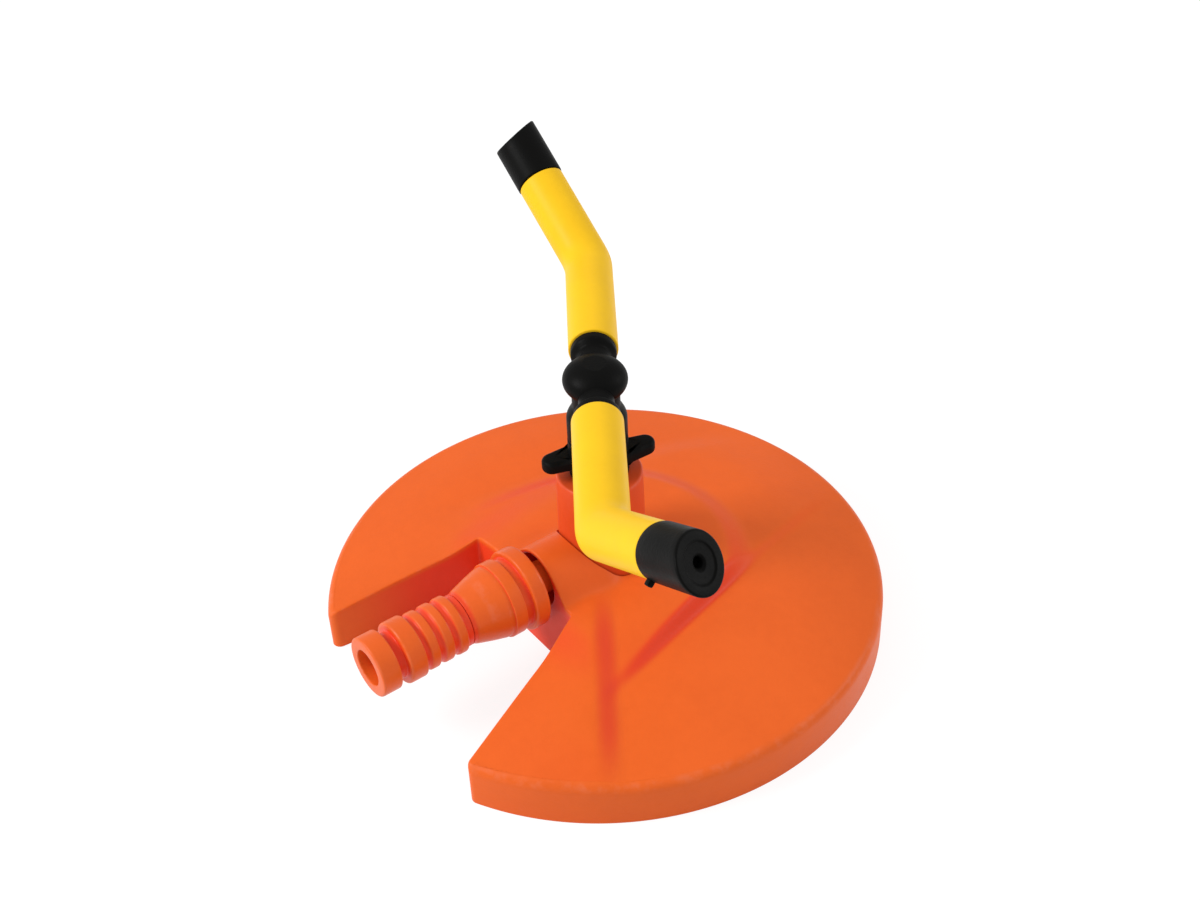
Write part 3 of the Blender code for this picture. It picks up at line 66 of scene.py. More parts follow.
# Relief of the disc
DOME_RISE = 0.0094
MOUND_CENTRE = 0.010
MOUND_SQUASH = 0.9
MOUND_RADIUS = 0.045
MOUND_SOFTNESS = 0.0125
MOUND_FALL = 0.041
MOUND_REACH = 0.125
MOUND_POWER = 1.15
MOUND_BLEND = 0.0015
MOUND_FRONT = 0.0625
MOUND_FRONT_FADE = 0.0275
BANK_FRONT = -0.051
BANK_BACK = 0.115
NEAR_BANK = (0.0622, 0.021, 0.0065)
FAR_BANK = (0.0725, 0.0294, 0.0165)
TERRACE_RADIUS = 0.0538
TERRACE_FALL = 0.015
TERRACE_START = 0.0062
TERRACE_BLEND = 0.0312
TERRACE_LIFT = 0.002
TERRACE_FADE = 0.0375
HOLLOW_DEPTH = 0.002
# Start and fade of the hollow along -x, minus the radius, y and -y
HOLLOW_EDGES = ((0.0375, 0.025), (-0.106, 0.0375), (-0.0687, 0.0437), (-0.0875, 0.0625))
CREST_AZIMUTH = -35 * DEGREE
CREST_HEIGHT = 0.0028
CREST_ASIDE = 0.0075
CREST_FLANK = 0.0525
VALLEY_WIDTH = 0.0125
VALLEY_DEPTH = 1.5
VALLEY_REACH = 0.0425
CREST_START = 0.010
CREST_END = 0.1375
CREST_FADE = 0.04375

# Notch, hood, inlet and underside of the disc
NOTCH_BACK = -0.036
NOTCH_RIGHT = (0.0256, 21.1 * DEGREE)
NOTCH_LEFT = (0.0473, 6.0 * DEGREE)
RIM_CORNER = 0.0035
INNER_CORNER = 0.0015
WALL_EDGE = 0.0009
ROOF_REACH = 0.0035
INLET_HEIGHT = 0.0394
INLET_HOLE = 0.0125
TUBE_OUTSIDE = 0.015
HOOD_RISE = 0.0146
HOOD_HALF = 0.019
HOOD_BLEND = 0.003
HOOD_FADE = 0.012
MOUTH_HALF = 0.0207
HUB_HOLE = 0.0202
HUB_WALL = 0.0023
HUB_BOTTOM = 0.024
RIB_BOTTOM = 0.0083
RIB_HALF = 0.001
RIB_STEP = 36 * DEGREE
RIB_COUNT = 8
BOSS_RADIUS = 0.004
RIB_SECTION = (1.0, 1.0, 0.55, -0.55, -1.0, -1.0)
RIB_LOW = [RIB_BOTTOM + rise for rise in (0.0, 0.0004, 0.0, 0.0, 0.0004, 0.0)]
BOSS_CIRCLE = 0.027
BOSS_ROUNDING = 0.0004

# Painted shade: where the disc and the connector get a darker, redder colour
SLOPE_STEP = 0.002
SLOPE_START = 0.12
SLOPE_SPAN = 0.55
BACK_LOSS = 0.75
BACK_START = 0.025
BACK_FADE = 0.045
NOTCH_START = 0.004
NOTCH_FADE = 0.045
GROOVE_FADE = 0.0009
END_FACE = 0.001

# Grid sizes of the disc
SIDE_ALONG = 32
HUB_ALONG = 200
HOLE_FRONT = -30 * DEGREE
HOLE_LAG = 4 * DEGREE
MOUTH = 41
WALL_ROWS = 92
BEND_ROWS = 7
CORNER_ROWS = 10
CURL_ROWS = 7
LIP_ROWS = 5
SIDE_ROWS = 12
DOWN_ROWS = 12
PANEL_ROWS = 9
RIB_ALONG = 40
STRAY_NONE = 0.3
STRAY_WHOLE = 0.8

# Riser, with its port, foot and bayonet neck
WINDOW_HALF = 0.78
WINDOW_LOW = 0.0245
WINDOW_HIGH = 0.0545
WINDOW_STEPS = 24
WINDOW_ROWS = 14
PORT_RADIUS = 0.0118
PORT_FACE = 0.0183
PORT_BORE = 0.0075
PORT_FLOOR = 0.0080
FOOT_RADIUS = 0.020
FLANGE_RADIUS = 0.032
FLANGE_LOW = 0.005
FLANGE_TOP = 0.008
NECK_RADIUS = 0.0096
NECK_HEIGHT = 0.0095
NECK_BORE = 0.0080
NECK_FLOOR = 0.0025
LUG_HALF = 27 * DEGREE
LUG_RISE = 0.0055
LUG_SECTION = ((0.0088, 0), (0.0110, 0), (0.0110, 0.003), (0.0088, 0.003))

# Collar and head
COLLAR_RADIUS = 0.0130
COLLAR_TOP = 0.1010
COLLAR_LEDGE = 0.0049
COLLAR_ROOF = 0.0033
WING_ROOT = 0.0127
WING_FLARE = 40 * DEGREE
WING_RISE = 0.0051
WING_HEIGHT = 0.0062
WING_ROUNDING = 0.0018
BALL_FLAT = 0.0052
SKIRT_NECK = 0.0102
ARM_START = 0.0250
ARM_EDGE = 0.0006
ARM_CURL = 5
NOZZLE_ROLL = 127 * DEGREE
LEVEL_PART = 0.002
NOZZLE_GROOVE = 0.0008
ORIFICE = 0.0020
ORIFICE_DEPTH = 0.0057
POINTER_TURN = 183 * DEGREE
POINTER_ALONG = 0.0024
POINTER_OUT = 0.0008
POINTER_SIZE = (0.0030, 0.0026, 0.0030)

# Looks, floor, lights and camera
GREY = (0.8, 0.8, 0.8, 1.0)
WHITE = (1.0, 1.0, 1.0, 1.0)
HALF_SWING = 0.05
SCUFF_ROUGHNESS = 0.12
SCUFF_DEPTH = 0.3
FLOOR_LEVEL = -0.0002
FLOOR_GLOW = 0.85
WORLD_LIGHT = 0.60
LAMP_SIZE = 0.5
LAMP_TARGET = (0, 0, 0.05)
KEY_LAMP = ((-0.42, -1.02, 0.90), 11.5)
FILL_LAMP = ((0.60, 1.10, 0.70), 4.5)
CAMERA_LENS = 52.81
CAMERA_SENSOR = 36.0
CAMERA_PLACE = (0.4794, -0.3357, 0.5636)
CAMERA_TARGET = (0.0004, 0.00055, 0.0933)
CAMERA_ROLL = -0.0464
FITTINGS = {
    "drawn_steel": "riser_screw_1 riser_screw_2 riser_screw_3 riser_screw_4 filter_screen locking_claw_1 "
                   "locking_claw_2 locking_claw_3 sleeve_spring spindle retaining_ring",
    "soft_rubber": "plug_washer connector_oring neck_gasket spindle_oring arm_oring_a arm_oring_b "
                   "nozzle_oring_a nozzle_oring_b",
    "pale_plastic": "hose_gripper bearing_sleeve thrust_washer_upper thrust_washer_lower"}

# Local frames of turned pieces: origin, x axis and z axis
INLET = ((0.0, 0.0, INLET_HEIGHT), (1.0, 0.0, 0.0), (0.0, -1.0, 0.0))
UPRIGHT = ((0.0, 0.0, 0.0), (1.0, 0.0, 0.0), (0.0, 0.0, 1.0))


def millimetres(*rows):
    """Rows of numbers in millimetres, as metres."""
    return np.array(rows) * 0.001


# Threaded shank, six-sided flange, groove for the claws, and the stem's end
HEXAGON_INSIDE = 0.0095
PLUG_SECTION = millimetres(
    (4.6, 9.4, 0), (7.2, 9.4, 0.6), (7.2, 20.3, 0), (9.6, 20.3, 0), (10.1, 20.3, 0.2), (10.8, 20.9, 0.2),
    (10.8, 23.4, 0.2), (10.1, 24.0, 0.2), (8.0, 24.0, 0.3), (7.5, 24.4, 0.3), (7.5, 45.7, 0.2),
    (6.3, 45.7, 0.2), (6.3, 49.3, 0.2), (7.5, 49.3, 0.2), (7.5, 60.4, 0.3), (6.7, 62.0, 0.3),
    (4.6, 62.0, 0.3))
# Barbed tail, spigot, lip, tapered barrel, ring and front tube of the connector's body
BARREL_SECTION = millimetres(
    (5.6, 112.0, 0.3),
    *[row for tip in (111.0, 106.0, 101.0)
      for row in ((5.6, tip, 0.1), (6.3, tip - 4.0, 0.1), (5.6, tip - 4.0, 0.1))],
    (5.6, 91.0, 0.3), (9.8, 91.0, 0.5), (9.8, 76.2, 0), (11.9, 76.2, 0.4), (11.9, 75.0, 0.3),
    (12.6, 73.7, 1.2), (14.85, 66.2, 6.0), (16.4, 60.0, 2.2), (16.4, 58.2, 0.3), (17.3, 58.2, 0.8),
    (17.3, 52.5, 0.7), (16.3, 52.5, 0.2), (16.3, 57.0, 0.2), (13.3, 57.0, 0.2), (13.3, 42.5, 0.5),
    (7.8, 42.5, 0.3), (7.8, 62.3, 0), (4.2, 62.3, 0), (4.2, 112.0, 0.3))
# Thin tail, front flange and the spring's counterbore of the release sleeve
SLEEVE_SECTION = millimetres(
    (16.0, 53.0, 0.4), (16.0, 48.5, 0.5), (18.75, 48.5, 1.6), (18.75, 41.2, 1.8), (13.6, 41.2, 0.5),
    (13.6, 44.0, 0.2), (15.2, 44.0, 0.2), (15.2, 53.0, 0.2))
# End ring, groove, band, ribs and lip of the clamp nut
NUT_SECTION = millimetres(
    (13.6, 121.9, 1.1), (13.6, 113.0, 0.8), (10.5, 113.0, 0.8), (10.5, 108.7, 0.8), (14.1, 108.7, 1.2),
    (14.1, 100.5, 1.4),
    *[row for top in (100.5, 93.5, 86.5)
      for row in ((12.1, top, 0.5), (12.1, top - 2.2, 0.5), (13.2, top - 3.0, 1.0), (13.2, top - 6.6, 0.9))],
    (11.9, 79.5, 0.5), (11.9, 76.5, 0.4), (10.1, 76.5, 0.2), (10.1, 100.8, 0.2), (8.2, 100.8, 0.3),
    (8.2, 121.9, 0.6))
# Waisted skirt under the ball, and the bearing's seat inside it
SKIRT_SECTION = millimetres(
    (10.2, 117.8, 1.2), (12.9, 112.8, 1.6), (12.9, 101.3, 0.7), (8.0, 101.3, 0), (8.0, 99.2, 0),
    (0.0, 99.2, 0))
# Spigot with its seal's groove, cup and neck on each side of the ball
BRANCH_SECTION = millimetres(
    (0.0, 40.0, 0), (5.5, 40.0, 0.4), (8.4, 40.0, 0.8), (8.4, 34.8, 0), (7.3, 34.8, 0), (7.3, 33.2, 0),
    (8.4, 33.2, 0), (8.4, 24.7, 0), (9.9, 24.7, 0.6), (9.9, 20.9, 1.2), (8.7, 19.7, 1.0), (7.5, 18.5, 1.2),
    (7.5, 6.5, 0), (0.0, 6.5, 0))
# Spigot of a nozzle with its seal's groove
SPIGOT_SECTION = millimetres(
    (0.0, 33.0, 0), (8.4, 33.0, 0.4), (8.4, 37.7, 0), (7.3, 37.7, 0), (7.3, 39.3, 0), (8.4, 39.3, 0))


def length(name, default, description):
    """A size that the sidebar shows in the scene's unit of length."""
    return bpy.props.FloatProperty(name=name, default=default, min=0.0, precision=4,
                                   unit="LENGTH", description=description)


def angle(name, default, description):
    """An angle that the sidebar shows in degrees."""
    return bpy.props.FloatProperty(name=name, default=default * DEGREE, unit="ROTATION",
                                   description=description)


def colour(name, default, description):
    """A linear colour with a picker."""
    return bpy.props.FloatVectorProperty(name=name, default=default, min=0.0, max=1.0,
                                         subtype="COLOR", size=3, description=description)


def share(name, default, description):
    """A plain factor from 0 to 1."""
    return bpy.props.FloatProperty(name=name, default=default, min=0.0, max=1.0,
                                   subtype="FACTOR", description=description)


class SprinklerSizes(bpy.types.PropertyGroup):
    """Sizes of the sprinkler's pieces."""

    rim_radius: length("Rim radius", RIM, "Radius of the base disc")
    rim_height: length("Rim height", 0.0207, "Height of the disc's rim above the ground")
    rim_rounding: length("Rim rounding", 0.0035, "Radius of the rim's upper edge")
    shell_wall: length("Shell wall", 0.0025, "Wall thickness of the base shell")
    mound_height: length("Mound height", 0.0362, "Height of the mound's top above the ground")
    post_base: length("Post base radius", 0.0199, "Radius of the riser where it leaves the mound")
    post_top: length("Post top radius", 0.0188, "Radius of the riser under its shoulder")
    post_height: length("Post height", 0.0825, "Height of the riser's shoulder")
    wing_tip: length("Wing tip", 0.025, "Distance of a finger wing's tip from the riser's axis")
    wing_lobe: length("Wing lobe", 0.0045, "Radius of the round end of a finger wing")
    wing_turn: angle("Wing turn", 69, "Direction of the first finger wing")
    ball_radius: length("Ball radius", 0.0137, "Level radius of the hub's ball")
    ball_half: length("Ball half height", 0.0088, "Upright radius of the hub's ball")
    ball_height: length("Ball height", 0.131, "Height of the ball's middle")
    arm_height: length("Arm height", 0.1278, "Height of the arms' axis at the hub")
    arm_turn: angle("Arm turn", -34.7, "Direction of the first arm at rest")
    arm_radius: length("Arm radius", 0.01075, "Outer radius of an arm's tube")
    arm_wall: length("Arm wall", 0.00205, "Wall thickness of an arm's tube")
    arm_reach: length("Arm reach", 0.0926, "Distance from the riser's axis to an arm's bend")
    arm_bend: length("Arm bend", 0.006, "How far an arm's bend reaches along both of its runs")
    tip_length: length("Tip length", 0.0474, "Length of an arm beyond its bend")
    tip_turn: angle("Tip turn", 28.7, "Sideways turn of an arm's tip")
    tip_rise: angle("Tip rise", 28.25, "Upward turn of an arm's tip")
    nozzle_radius: length("Nozzle radius", 0.0111, "Outer radius of a nozzle")
    nozzle_length: length("Nozzle length", 0.027, "Length of a nozzle beyond its arm")
    nozzle_slant: angle("Nozzle slant", 27.5, "Slant of a nozzle's end face")


class SprinklerFinishes(bpy.types.PropertyGroup):
    """Colours and surface detail of the sprinkler's materials."""

    base_colour: colour("Base colour", (0.84, 0.134, 0.018), "Plastic of the base shell")
    # Painted shade: a darker, redder orange laid on the disc's steep slopes, notch walls and inlet hole, and
    # in the connector's grooves and inner corners
    painted_shade_colour: colour("Deep colour", (0.84, 0.060, 0.016), "Orange plastic where it is sheltered")
    # Painted shade: the riser's orange is a darker, redder copy of the base's orange
    shaded_post_colour: colour("Post colour", (0.75, 0.080, 0.015), "Plastic of the riser")
    connector_colour: colour("Connector colour", (0.82, 0.124, 0.015), "Plastic of the hose connector")
    arm_colour: colour("Arm colour", (0.98, 0.58, 0.014), "Plastic of the two arms")
    black_colour: colour("Black colour", (0.0045, 0.0045, 0.0042), "Plastic of the hub and nozzles")
    white_colour: colour("White colour", (0.72, 0.71, 0.67), "Plastic of the bearing parts")
    rubber_colour: colour("Rubber colour", (0.018, 0.018, 0.019), "Rubber of the seals")
    steel_colour: colour("Steel colour", (0.60, 0.60, 0.59), "Steel of the spring and screws")
    wear: share("Wear", 0.10, "How far the edges have been rubbed pale")
    drift: share("Colour drift", 0.30, "How much the plastic's colour changes over a piece")


# Arrays and meshes


def ease(t):
    """Smooth step: 3 t squared less 2 t cubed, with t held between 0 and 1."""
    t = np.clip(t, 0.0, 1.0)
    return t * t * (3.0 - 2.0 * t)


def soft_ramp(t, width):
    """Half of t plus the root of t squared and width squared: t above 0, fading to 0 below."""
    return 0.5 * (t + np.sqrt(t * t + width * width))


def unit(v):
    """v divided by its length, along the last axis."""
    return v / np.linalg.norm(v, axis=-1, keepdims=True)


def stacked(*coordinates):
    """Points from separate coordinates, which are spread over each other's rows and columns."""
    return np.stack(np.broadcast_arrays(*coordinates), -1)


def ring(radius, a, *height):
    """Points (radius cos a, radius sin a), with the height as a third coordinate if there is one."""
    return stacked(radius * np.cos(a), radius * np.sin(a), *height)


def arc(centre, radius, start, end, count):
    """Centre plus radius times (cos a, sin a), for count angles from start to end."""
    return np.array(centre) + ring(radius, np.linspace(start, end, count))


def quarter_round(rounding, count):
    """Angles of a quarter turn, with how far a rounded edge is moved in and has fallen at each:
    the rounding times 1 - sin a and times 1 - cos a."""
    a = np.linspace(0.0, np.pi / 2, count)
    return a, rounding * (1 - np.sin(a)), rounding * (1 - np.cos(a))


def capped(rows):
    """Rows of a tube, with one more at each end that is drawn to the end row's middle."""
    ends = rows[[0, -1]].mean(axis=1, keepdims=True) + 0 * rows[[0, -1]]
    return np.concatenate([ends[:1], rows, ends[1:]])


def border_of(grid):
    """Border of a grid of rows and columns, once round from its first corner."""
    return np.concatenate([grid[0], grid[1:-1, -1], grid[-1, ::-1], grid[-2:0:-1, 0]])


def quads(rows, columns, wrap_rows, wrap_columns):
    """Corner numbers of a grid's quads: cell (i, j) has the corners i and i + 1 by j and j + 1."""
    i = np.arange(rows if wrap_rows else rows - 1)[:, None]
    j = np.arange(columns if wrap_columns else columns - 1)
    i2, j2 = (i + 1) % rows, (j + 1) % columns
    corners = (i * columns + j, i2 * columns + j, i2 * columns + j2, i * columns + j2)
    return stacked(*corners).reshape(-1, 4)


def patch(points, wrap_rows=False, wrap_columns=False, edge=0.0):
    """A grid of points, with a number at each that runs from -1, full painted shade, to 1, rubbed bare."""
    rows, columns = points.shape[:2]
    return points, quads(rows, columns, wrap_rows, wrap_columns), np.broadcast_to(edge, (rows, columns))


def make_piece(name, patches, sharp=32.0):
    """Stacks the patches into one mesh, joins the seams and turns the faces outwards."""
    counts = [p[2].size for p in patches]
    starts = np.concatenate([[0], np.cumsum(counts)[:-1]])
    points = np.concatenate([p[0].reshape(-1, 3) for p in patches])
    faces = np.concatenate([p[1] + start for p, start in zip(patches, starts)])
    mesh = bpy.data.meshes.new(name)
    mesh.from_pydata(points.tolist(), [], faces.tolist())
    # The edge number carries painted shade below 0 and wear above 0
    edge = mesh.attributes.new("edge", "FLOAT", "POINT")
    edge.data.foreach_set("value", np.concatenate([p[2].ravel() for p in patches]).astype(np.float32))
    shape = bmesh.new()
    shape.from_mesh(mesh)
    bmesh.ops.remove_doubles(shape, verts=shape.verts, dist=MERGE_DISTANCE)
    bmesh.ops.dissolve_degenerate(shape, edges=shape.edges, dist=MERGE_DISTANCE / 10)
    bmesh.ops.recalc_face_normals(shape, faces=shape.faces)
    open_edges = sum(1 for e in shape.edges if len(e.link_faces) != 2)
    shape.to_mesh(mesh)
    shape.free()
    mesh.shade_smooth()
    mesh.set_sharp_from_angle(angle=sharp * DEGREE)
    piece = bpy.data.objects.new(name, mesh)
    bpy.context.scene.collection.objects.link(piece)
    print(f"{name}: {len(mesh.polygons)} faces, {open_edges} open edges")
    return piece


def dress(piece, body, slot, finish, *nodes):
    """Give a piece its material, let it ride on its body and stand for its nodes; the slot is not used."""
    piece.data.materials.append(bpy.data.materials[finish])
    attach(piece, body)
    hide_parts(*nodes)


def placed(points, origin, x_axis, z_axis):
    """origin plus x, y and z times the local axes, where the y axis is z cross x."""
    return points @ np.stack([x_axis, np.cross(z_axis, x_axis), z_axis]) + np.array(origin)


def soften(profile, count=5, closed=False):
    """Rounds the corners of a profile of (radius, height, rounding).

    Each corner becomes a curve (1 - t) squared a + 2 t (1 - t) p + t squared b, where a and b lie
    on the two sides of the corner p, at most 0.45 of a side away. Also returns the wear and painted
    shade of each point: 1, rubbed, in the middle of an outer rounding, -1, painted shade, in that of
    an inner one, 0 where it begins.
    """
    profile = np.array(profile, float)
    p, r = profile[:, :2], profile[:, 2]
    before, after = np.roll(p, 1, 0) - p, np.roll(p, -1, 0) - p
    size_before, size_after = np.hypot(*before.T), np.hypot(*after.T)
    reach = np.minimum(r, 0.45 * np.minimum(size_before, size_after))
    if not closed:
        reach[[0, -1]] = 0.0
    a = p + before * (reach / size_before)[:, None]
    b = p + after * (reach / size_after)[:, None]
    t = np.linspace(0.0, 1.0, count)
    u = t[:, None]
    curve = (1 - u) ** 2 * a[:, None] + 2 * u * (1 - u) * p[:, None] + u ** 2 * b[:, None]
    turn = before[:, 0] * after[:, 1] - before[:, 1] * after[:, 0]
    wear_and_shade = (np.sign(turn) * (reach > 0))[:, None] * 4 * t * (1 - t)
    return curve.reshape(-1, 2), wear_and_shade.ravel()


def turned(profile, axes, steps=96, closed=False, rounding=5, warp=None, groove=0.0):
    """A softened profile turned about the local Z axis: (r cos a, r sin a, z), with a once round.

    What lies nearer the axis than groove gets painted shade in the deeper colour, except the far end's face.
    """
    curve, wear_and_shade = soften(profile, rounding, closed)
    # Painted shade on groove floors
    depth = (groove - curve[:, 0]) / GROOVE_FADE
    inside = (depth > 0.0) & (curve[:, 1] < curve[:, 1].max() - END_FACE)
    wear_and_shade = np.where(inside, -ease(depth), wear_and_shade)
    a = np.arange(steps) * (2 * np.pi / steps)
    r, z = curve.T[..., None]
    if warp is not None:
        r, z = warp(r, z, a)
    return patch(placed(ring(r, a, z), *axes), closed, True, wear_and_shade[:, None])


def rounded_block(size, axes):
    """A block with soft edges: x, y and z are half its sizes times sines and cosines raised to the
    power 0.4, with their signs kept."""
    u = np.linspace(-np.pi / 2, np.pi / 2, 20)[:, None]
    v = np.linspace(-np.pi, np.pi, 40, endpoint=False)

    def bend(x):
        return np.sign(x) * np.abs(x) ** 0.4

    points = stacked(bend(np.cos(u)) * bend(np.cos(v)), bend(np.cos(u)) * bend(np.sin(v)), bend(np.sin(u)))
    return patch(placed(points * np.array(size) / 2, *axes), False, True, 0.3)


# Materials


def new_group(name, inputs, outputs):
    """An empty shader node group, with the sockets of its input node and its output node.

    A number as an input's default makes a float socket, four numbers a colour socket.
    """
    group = bpy.data.node_groups.new(name, "ShaderNodeTree")
    for title, default in inputs.items():
        kind = "NodeSocketFloat" if isinstance(default, float) else "NodeSocketColor"
        group.interface.new_socket(title, in_out="INPUT", socket_type=kind).default_value = default
    for title, kind in outputs.items():
        group.interface.new_socket(title, in_out="OUTPUT", socket_type=kind)
    return group, group.nodes.new("NodeGroupInput").outputs, group.nodes.new("NodeGroupOutput")


def feed(node, inputs):
    """Sets the inputs of a node; a socket as a value becomes a link."""
    for key, value in inputs.items():
        if isinstance(value, bpy.types.NodeSocket):
            node.id_data.links.new(value, node.inputs[key])
        else:
            node.inputs[key].default_value = value
    return node


def add_node(tree, kind, inputs=None, **settings):
    """A new node with its settings and inputs."""
    node = tree.nodes.new(kind)
    for name, value in settings.items():
        setattr(node, name, value)
    return feed(node, inputs or {})


def add_group(tree, name, inputs=None):
    """Outputs of a node that stands for a whole node group."""
    return add_node(tree, "ShaderNodeGroup", inputs, node_tree=bpy.data.node_groups[name]).outputs


def math(tree, operation, *values, clamp=False):
    """Output of a Math node."""
    inputs = dict(enumerate(values))
    return add_node(tree, "ShaderNodeMath", inputs, operation=operation, use_clamp=clamp).outputs[0]


def mixed(tree, factor, first, second, blend="MIX"):
    """Output of a Mix node, whose colour inputs are its sockets 6 and 7 and whose colour output is 2."""
    inputs = {0: factor, 6: first, 7: second}
    return add_node(tree, "ShaderNodeMix", inputs, data_type="RGBA", blend_type=blend).outputs[2]


def spread(tree, value, low, high, to_low=0.0, to_high=1.0):
    """Output of a Map Range node with a smooth step, held inside its range."""
    inputs = {"Value": value, "From Min": low, "From Max": high, "To Min": to_low, "To Max": to_high}
    return add_node(tree, "ShaderNodeMapRange", inputs, interpolation_type="SMOOTHSTEP").outputs["Result"]


def place_in(tree):
    """Coordinates in the object's own space."""
    return add_node(tree, "ShaderNodeTexCoord").outputs["Object"]


def noise(tree, place, scale, detail=2.0, rough=0.5):
    """Output of a Noise Texture."""
    inputs = {"Vector": place, "Scale": scale, "Detail": detail, "Roughness": rough}
    return add_node(tree, "ShaderNodeTexNoise", inputs).outputs["Fac"]


def make_colour_group():
    """Colour that wanders over a moulded piece, with painted shade in a deeper, redder colour where the edge
    number is below 0, and pale where rubbed.
    """
    group, source, sink = new_group(
        "moulded_colour",
        {"Colour": GREY, "Drift": 0.3, "Wear": 0.3, "Wear and shade": 0.0, "Painted shade": GREY, "Scale": 30.0},
        {"Colour": "NodeSocketColor", "Roughness": "NodeSocketFloat"})
    place, plain, edge = place_in(group), source["Colour"], source["Wear and shade"]
    broad = noise(group, place, source["Scale"], 3.0, 0.55)
    fine = noise(group, place, math(group, "MULTIPLY", source["Scale"], 9.0), 4.0, 0.6)
    swing = math(group, "ADD", math(group, "MULTIPLY", broad, 0.7), math(group, "MULTIPLY", fine, 0.3))
    level = spread(group, swing, 0.3, 0.7)
    darker = mixed(group, 1.0, plain, (0.86, 0.78, 0.74, 1.0), "MULTIPLY")
    lighter = mixed(group, 1.0, plain, (1.08, 1.10, 1.12, 1.0), "MULTIPLY")
    tinted = mixed(group, source["Drift"], plain, mixed(group, level, darker, lighter))
    chips = spread(group, noise(group, place, 170.0, 4.0, 0.6), 0.42, 0.7)
    chipped = math(group, "MULTIPLY", edge, chips)
    rubbed = math(group, "MULTIPLY", chipped, source["Wear"], clamp=True)
    pale = mixed(group, 0.35, plain, (1.0, 0.95, 0.88, 1.0))
    # Painted shade: below 0 the edge number mixes in the deeper, redder shade colour
    shaded = math(group, "MULTIPLY", edge, -1.0, clamp=True)
    with_painted_shade = mixed(group, shaded, tinted, source["Painted shade"])
    rough = math(group, "ADD", math(group, "MULTIPLY", level, 0.10), math(group, "MULTIPLY", rubbed, 0.2))
    feed(sink, {"Colour": mixed(group, rubbed, with_painted_shade, pale), "Roughness": rough})


def make_grain_group():
    """Height of a spark-eroded mould texture: fine round pits with a slower swell under them."""
    group, source, sink = new_group("mould_grain", {"Scale": 900.0, "Swell": 0.4},
                                    {"Height": "NodeSocketFloat"})
    place, scale = place_in(group), source["Scale"]
    cells = add_node(group, "ShaderNodeTexVoronoi", {"Vector": place, "Scale": scale}, feature="SMOOTH_F1")
    pits = spread(group, cells.outputs["Distance"], 0.1, 0.7)
    fine = noise(group, place, math(group, "MULTIPLY", scale, 2.1), 3.0, 0.6)
    swell = noise(group, place, math(group, "MULTIPLY", scale, 0.12))
    grain = math(group, "ADD", math(group, "MULTIPLY", pits, 0.6), math(group, "MULTIPLY", fine, 0.4))
    feed(sink, {"Height": math(group, "ADD", grain, math(group, "MULTIPLY", swell, source["Swell"]))})


def make_scuff_group():
    """Mask of fine scuffs: noise drawn out along Y, kept where broad noise is high."""
    group, _, sink = new_group("scuffs", {}, {"Mask": "NodeSocketFloat"})
    place = place_in(group)
    drawn_out = add_node(group, "ShaderNodeMapping", {"Vector": place, "Scale": (900.0, 60.0, 900.0)})
    lines = spread(group, noise(group, drawn_out.outputs[0], 1.0, 1.0, 0.4), 0.66, 0.72)
    places = spread(group, noise(group, place, 55.0), 0.5, 0.62)
    feed(sink, {"Mask": math(group, "MULTIPLY", lines, places)})


def start_material(name):
    """Node tree and shader of a new material."""
    material = bpy.data.materials.new(name)
    material.use_nodes = True
    return material.node_tree, material.node_tree.nodes["Principled BSDF"]


def make_plastic(name, tint, roughness, drift, wear, scale, grain, depth, swell=0.4, specular=0.25,
                 painted_shade=None):
    """Moulded plastic: drifting colour, mould grain, faint scuffs, rubbed edges and painted shade where the
    edge number is below 0.
    """
    tree, shader = start_material(name)
    edge = add_node(tree, "ShaderNodeAttribute", attribute_name="edge").outputs["Fac"]
    colours = add_group(tree, "moulded_colour", {
        "Colour": (*tint, 1.0), "Painted shade": (*(painted_shade or tint), 1.0), "Drift": drift, "Wear": wear,
        "Scale": scale, "Wear and shade": edge})
    scuffs = add_group(tree, "scuffs")["Mask"]
    grains = add_group(tree, "mould_grain", {"Scale": grain, "Swell": swell})["Height"]
    rough = math(tree, "ADD", colours["Roughness"], roughness - HALF_SWING)
    rough = math(tree, "ADD", rough, math(tree, "MULTIPLY", scuffs, SCUFF_ROUGHNESS), clamp=True)
    height = math(tree, "SUBTRACT", grains, math(tree, "MULTIPLY", scuffs, SCUFF_DEPTH))
    bump = add_node(tree, "ShaderNodeBump", {"Height": height, "Distance": depth, "Strength": 1.0})
    feed(shader, {"Base Color": colours["Colour"], "Roughness": rough, "Specular IOR Level": specular,
                  "Normal": bump.outputs["Normal"]})


def make_steel(name, tint):
    """Drawn steel: fine lines along the part, with slightly duller patches."""
    tree, shader = start_material(name)
    colours = add_group(tree, "moulded_colour", {
        "Colour": (*tint, 1.0), "Drift": 0.35, "Wear": 0.0, "Scale": 160.0})
    scuffs = add_group(tree, "scuffs")["Mask"]
    bump = add_node(tree, "ShaderNodeBump", {"Height": scuffs, "Distance": 0.00002})
    feed(shader, {"Metallic": 1.0, "Base Color": colours["Colour"], "Normal": bump.outputs["Normal"],
                  "Roughness": math(tree, "ADD", colours["Roughness"], 0.28)})


# The disc


def bank(back, side, line_and_fall):
    """1 on the mound's side of a bank and 0 beyond its foot, by the distance past a slanted line."""
    front_half, back_half, fall = line_and_fall
    run, lean = BANK_BACK - BANK_FRONT, back_half - front_half
    beyond = (side - front_half) * run - (back - BANK_FRONT) * lean
    return 1.0 - ease(beyond / np.hypot(run, lean) / fall)


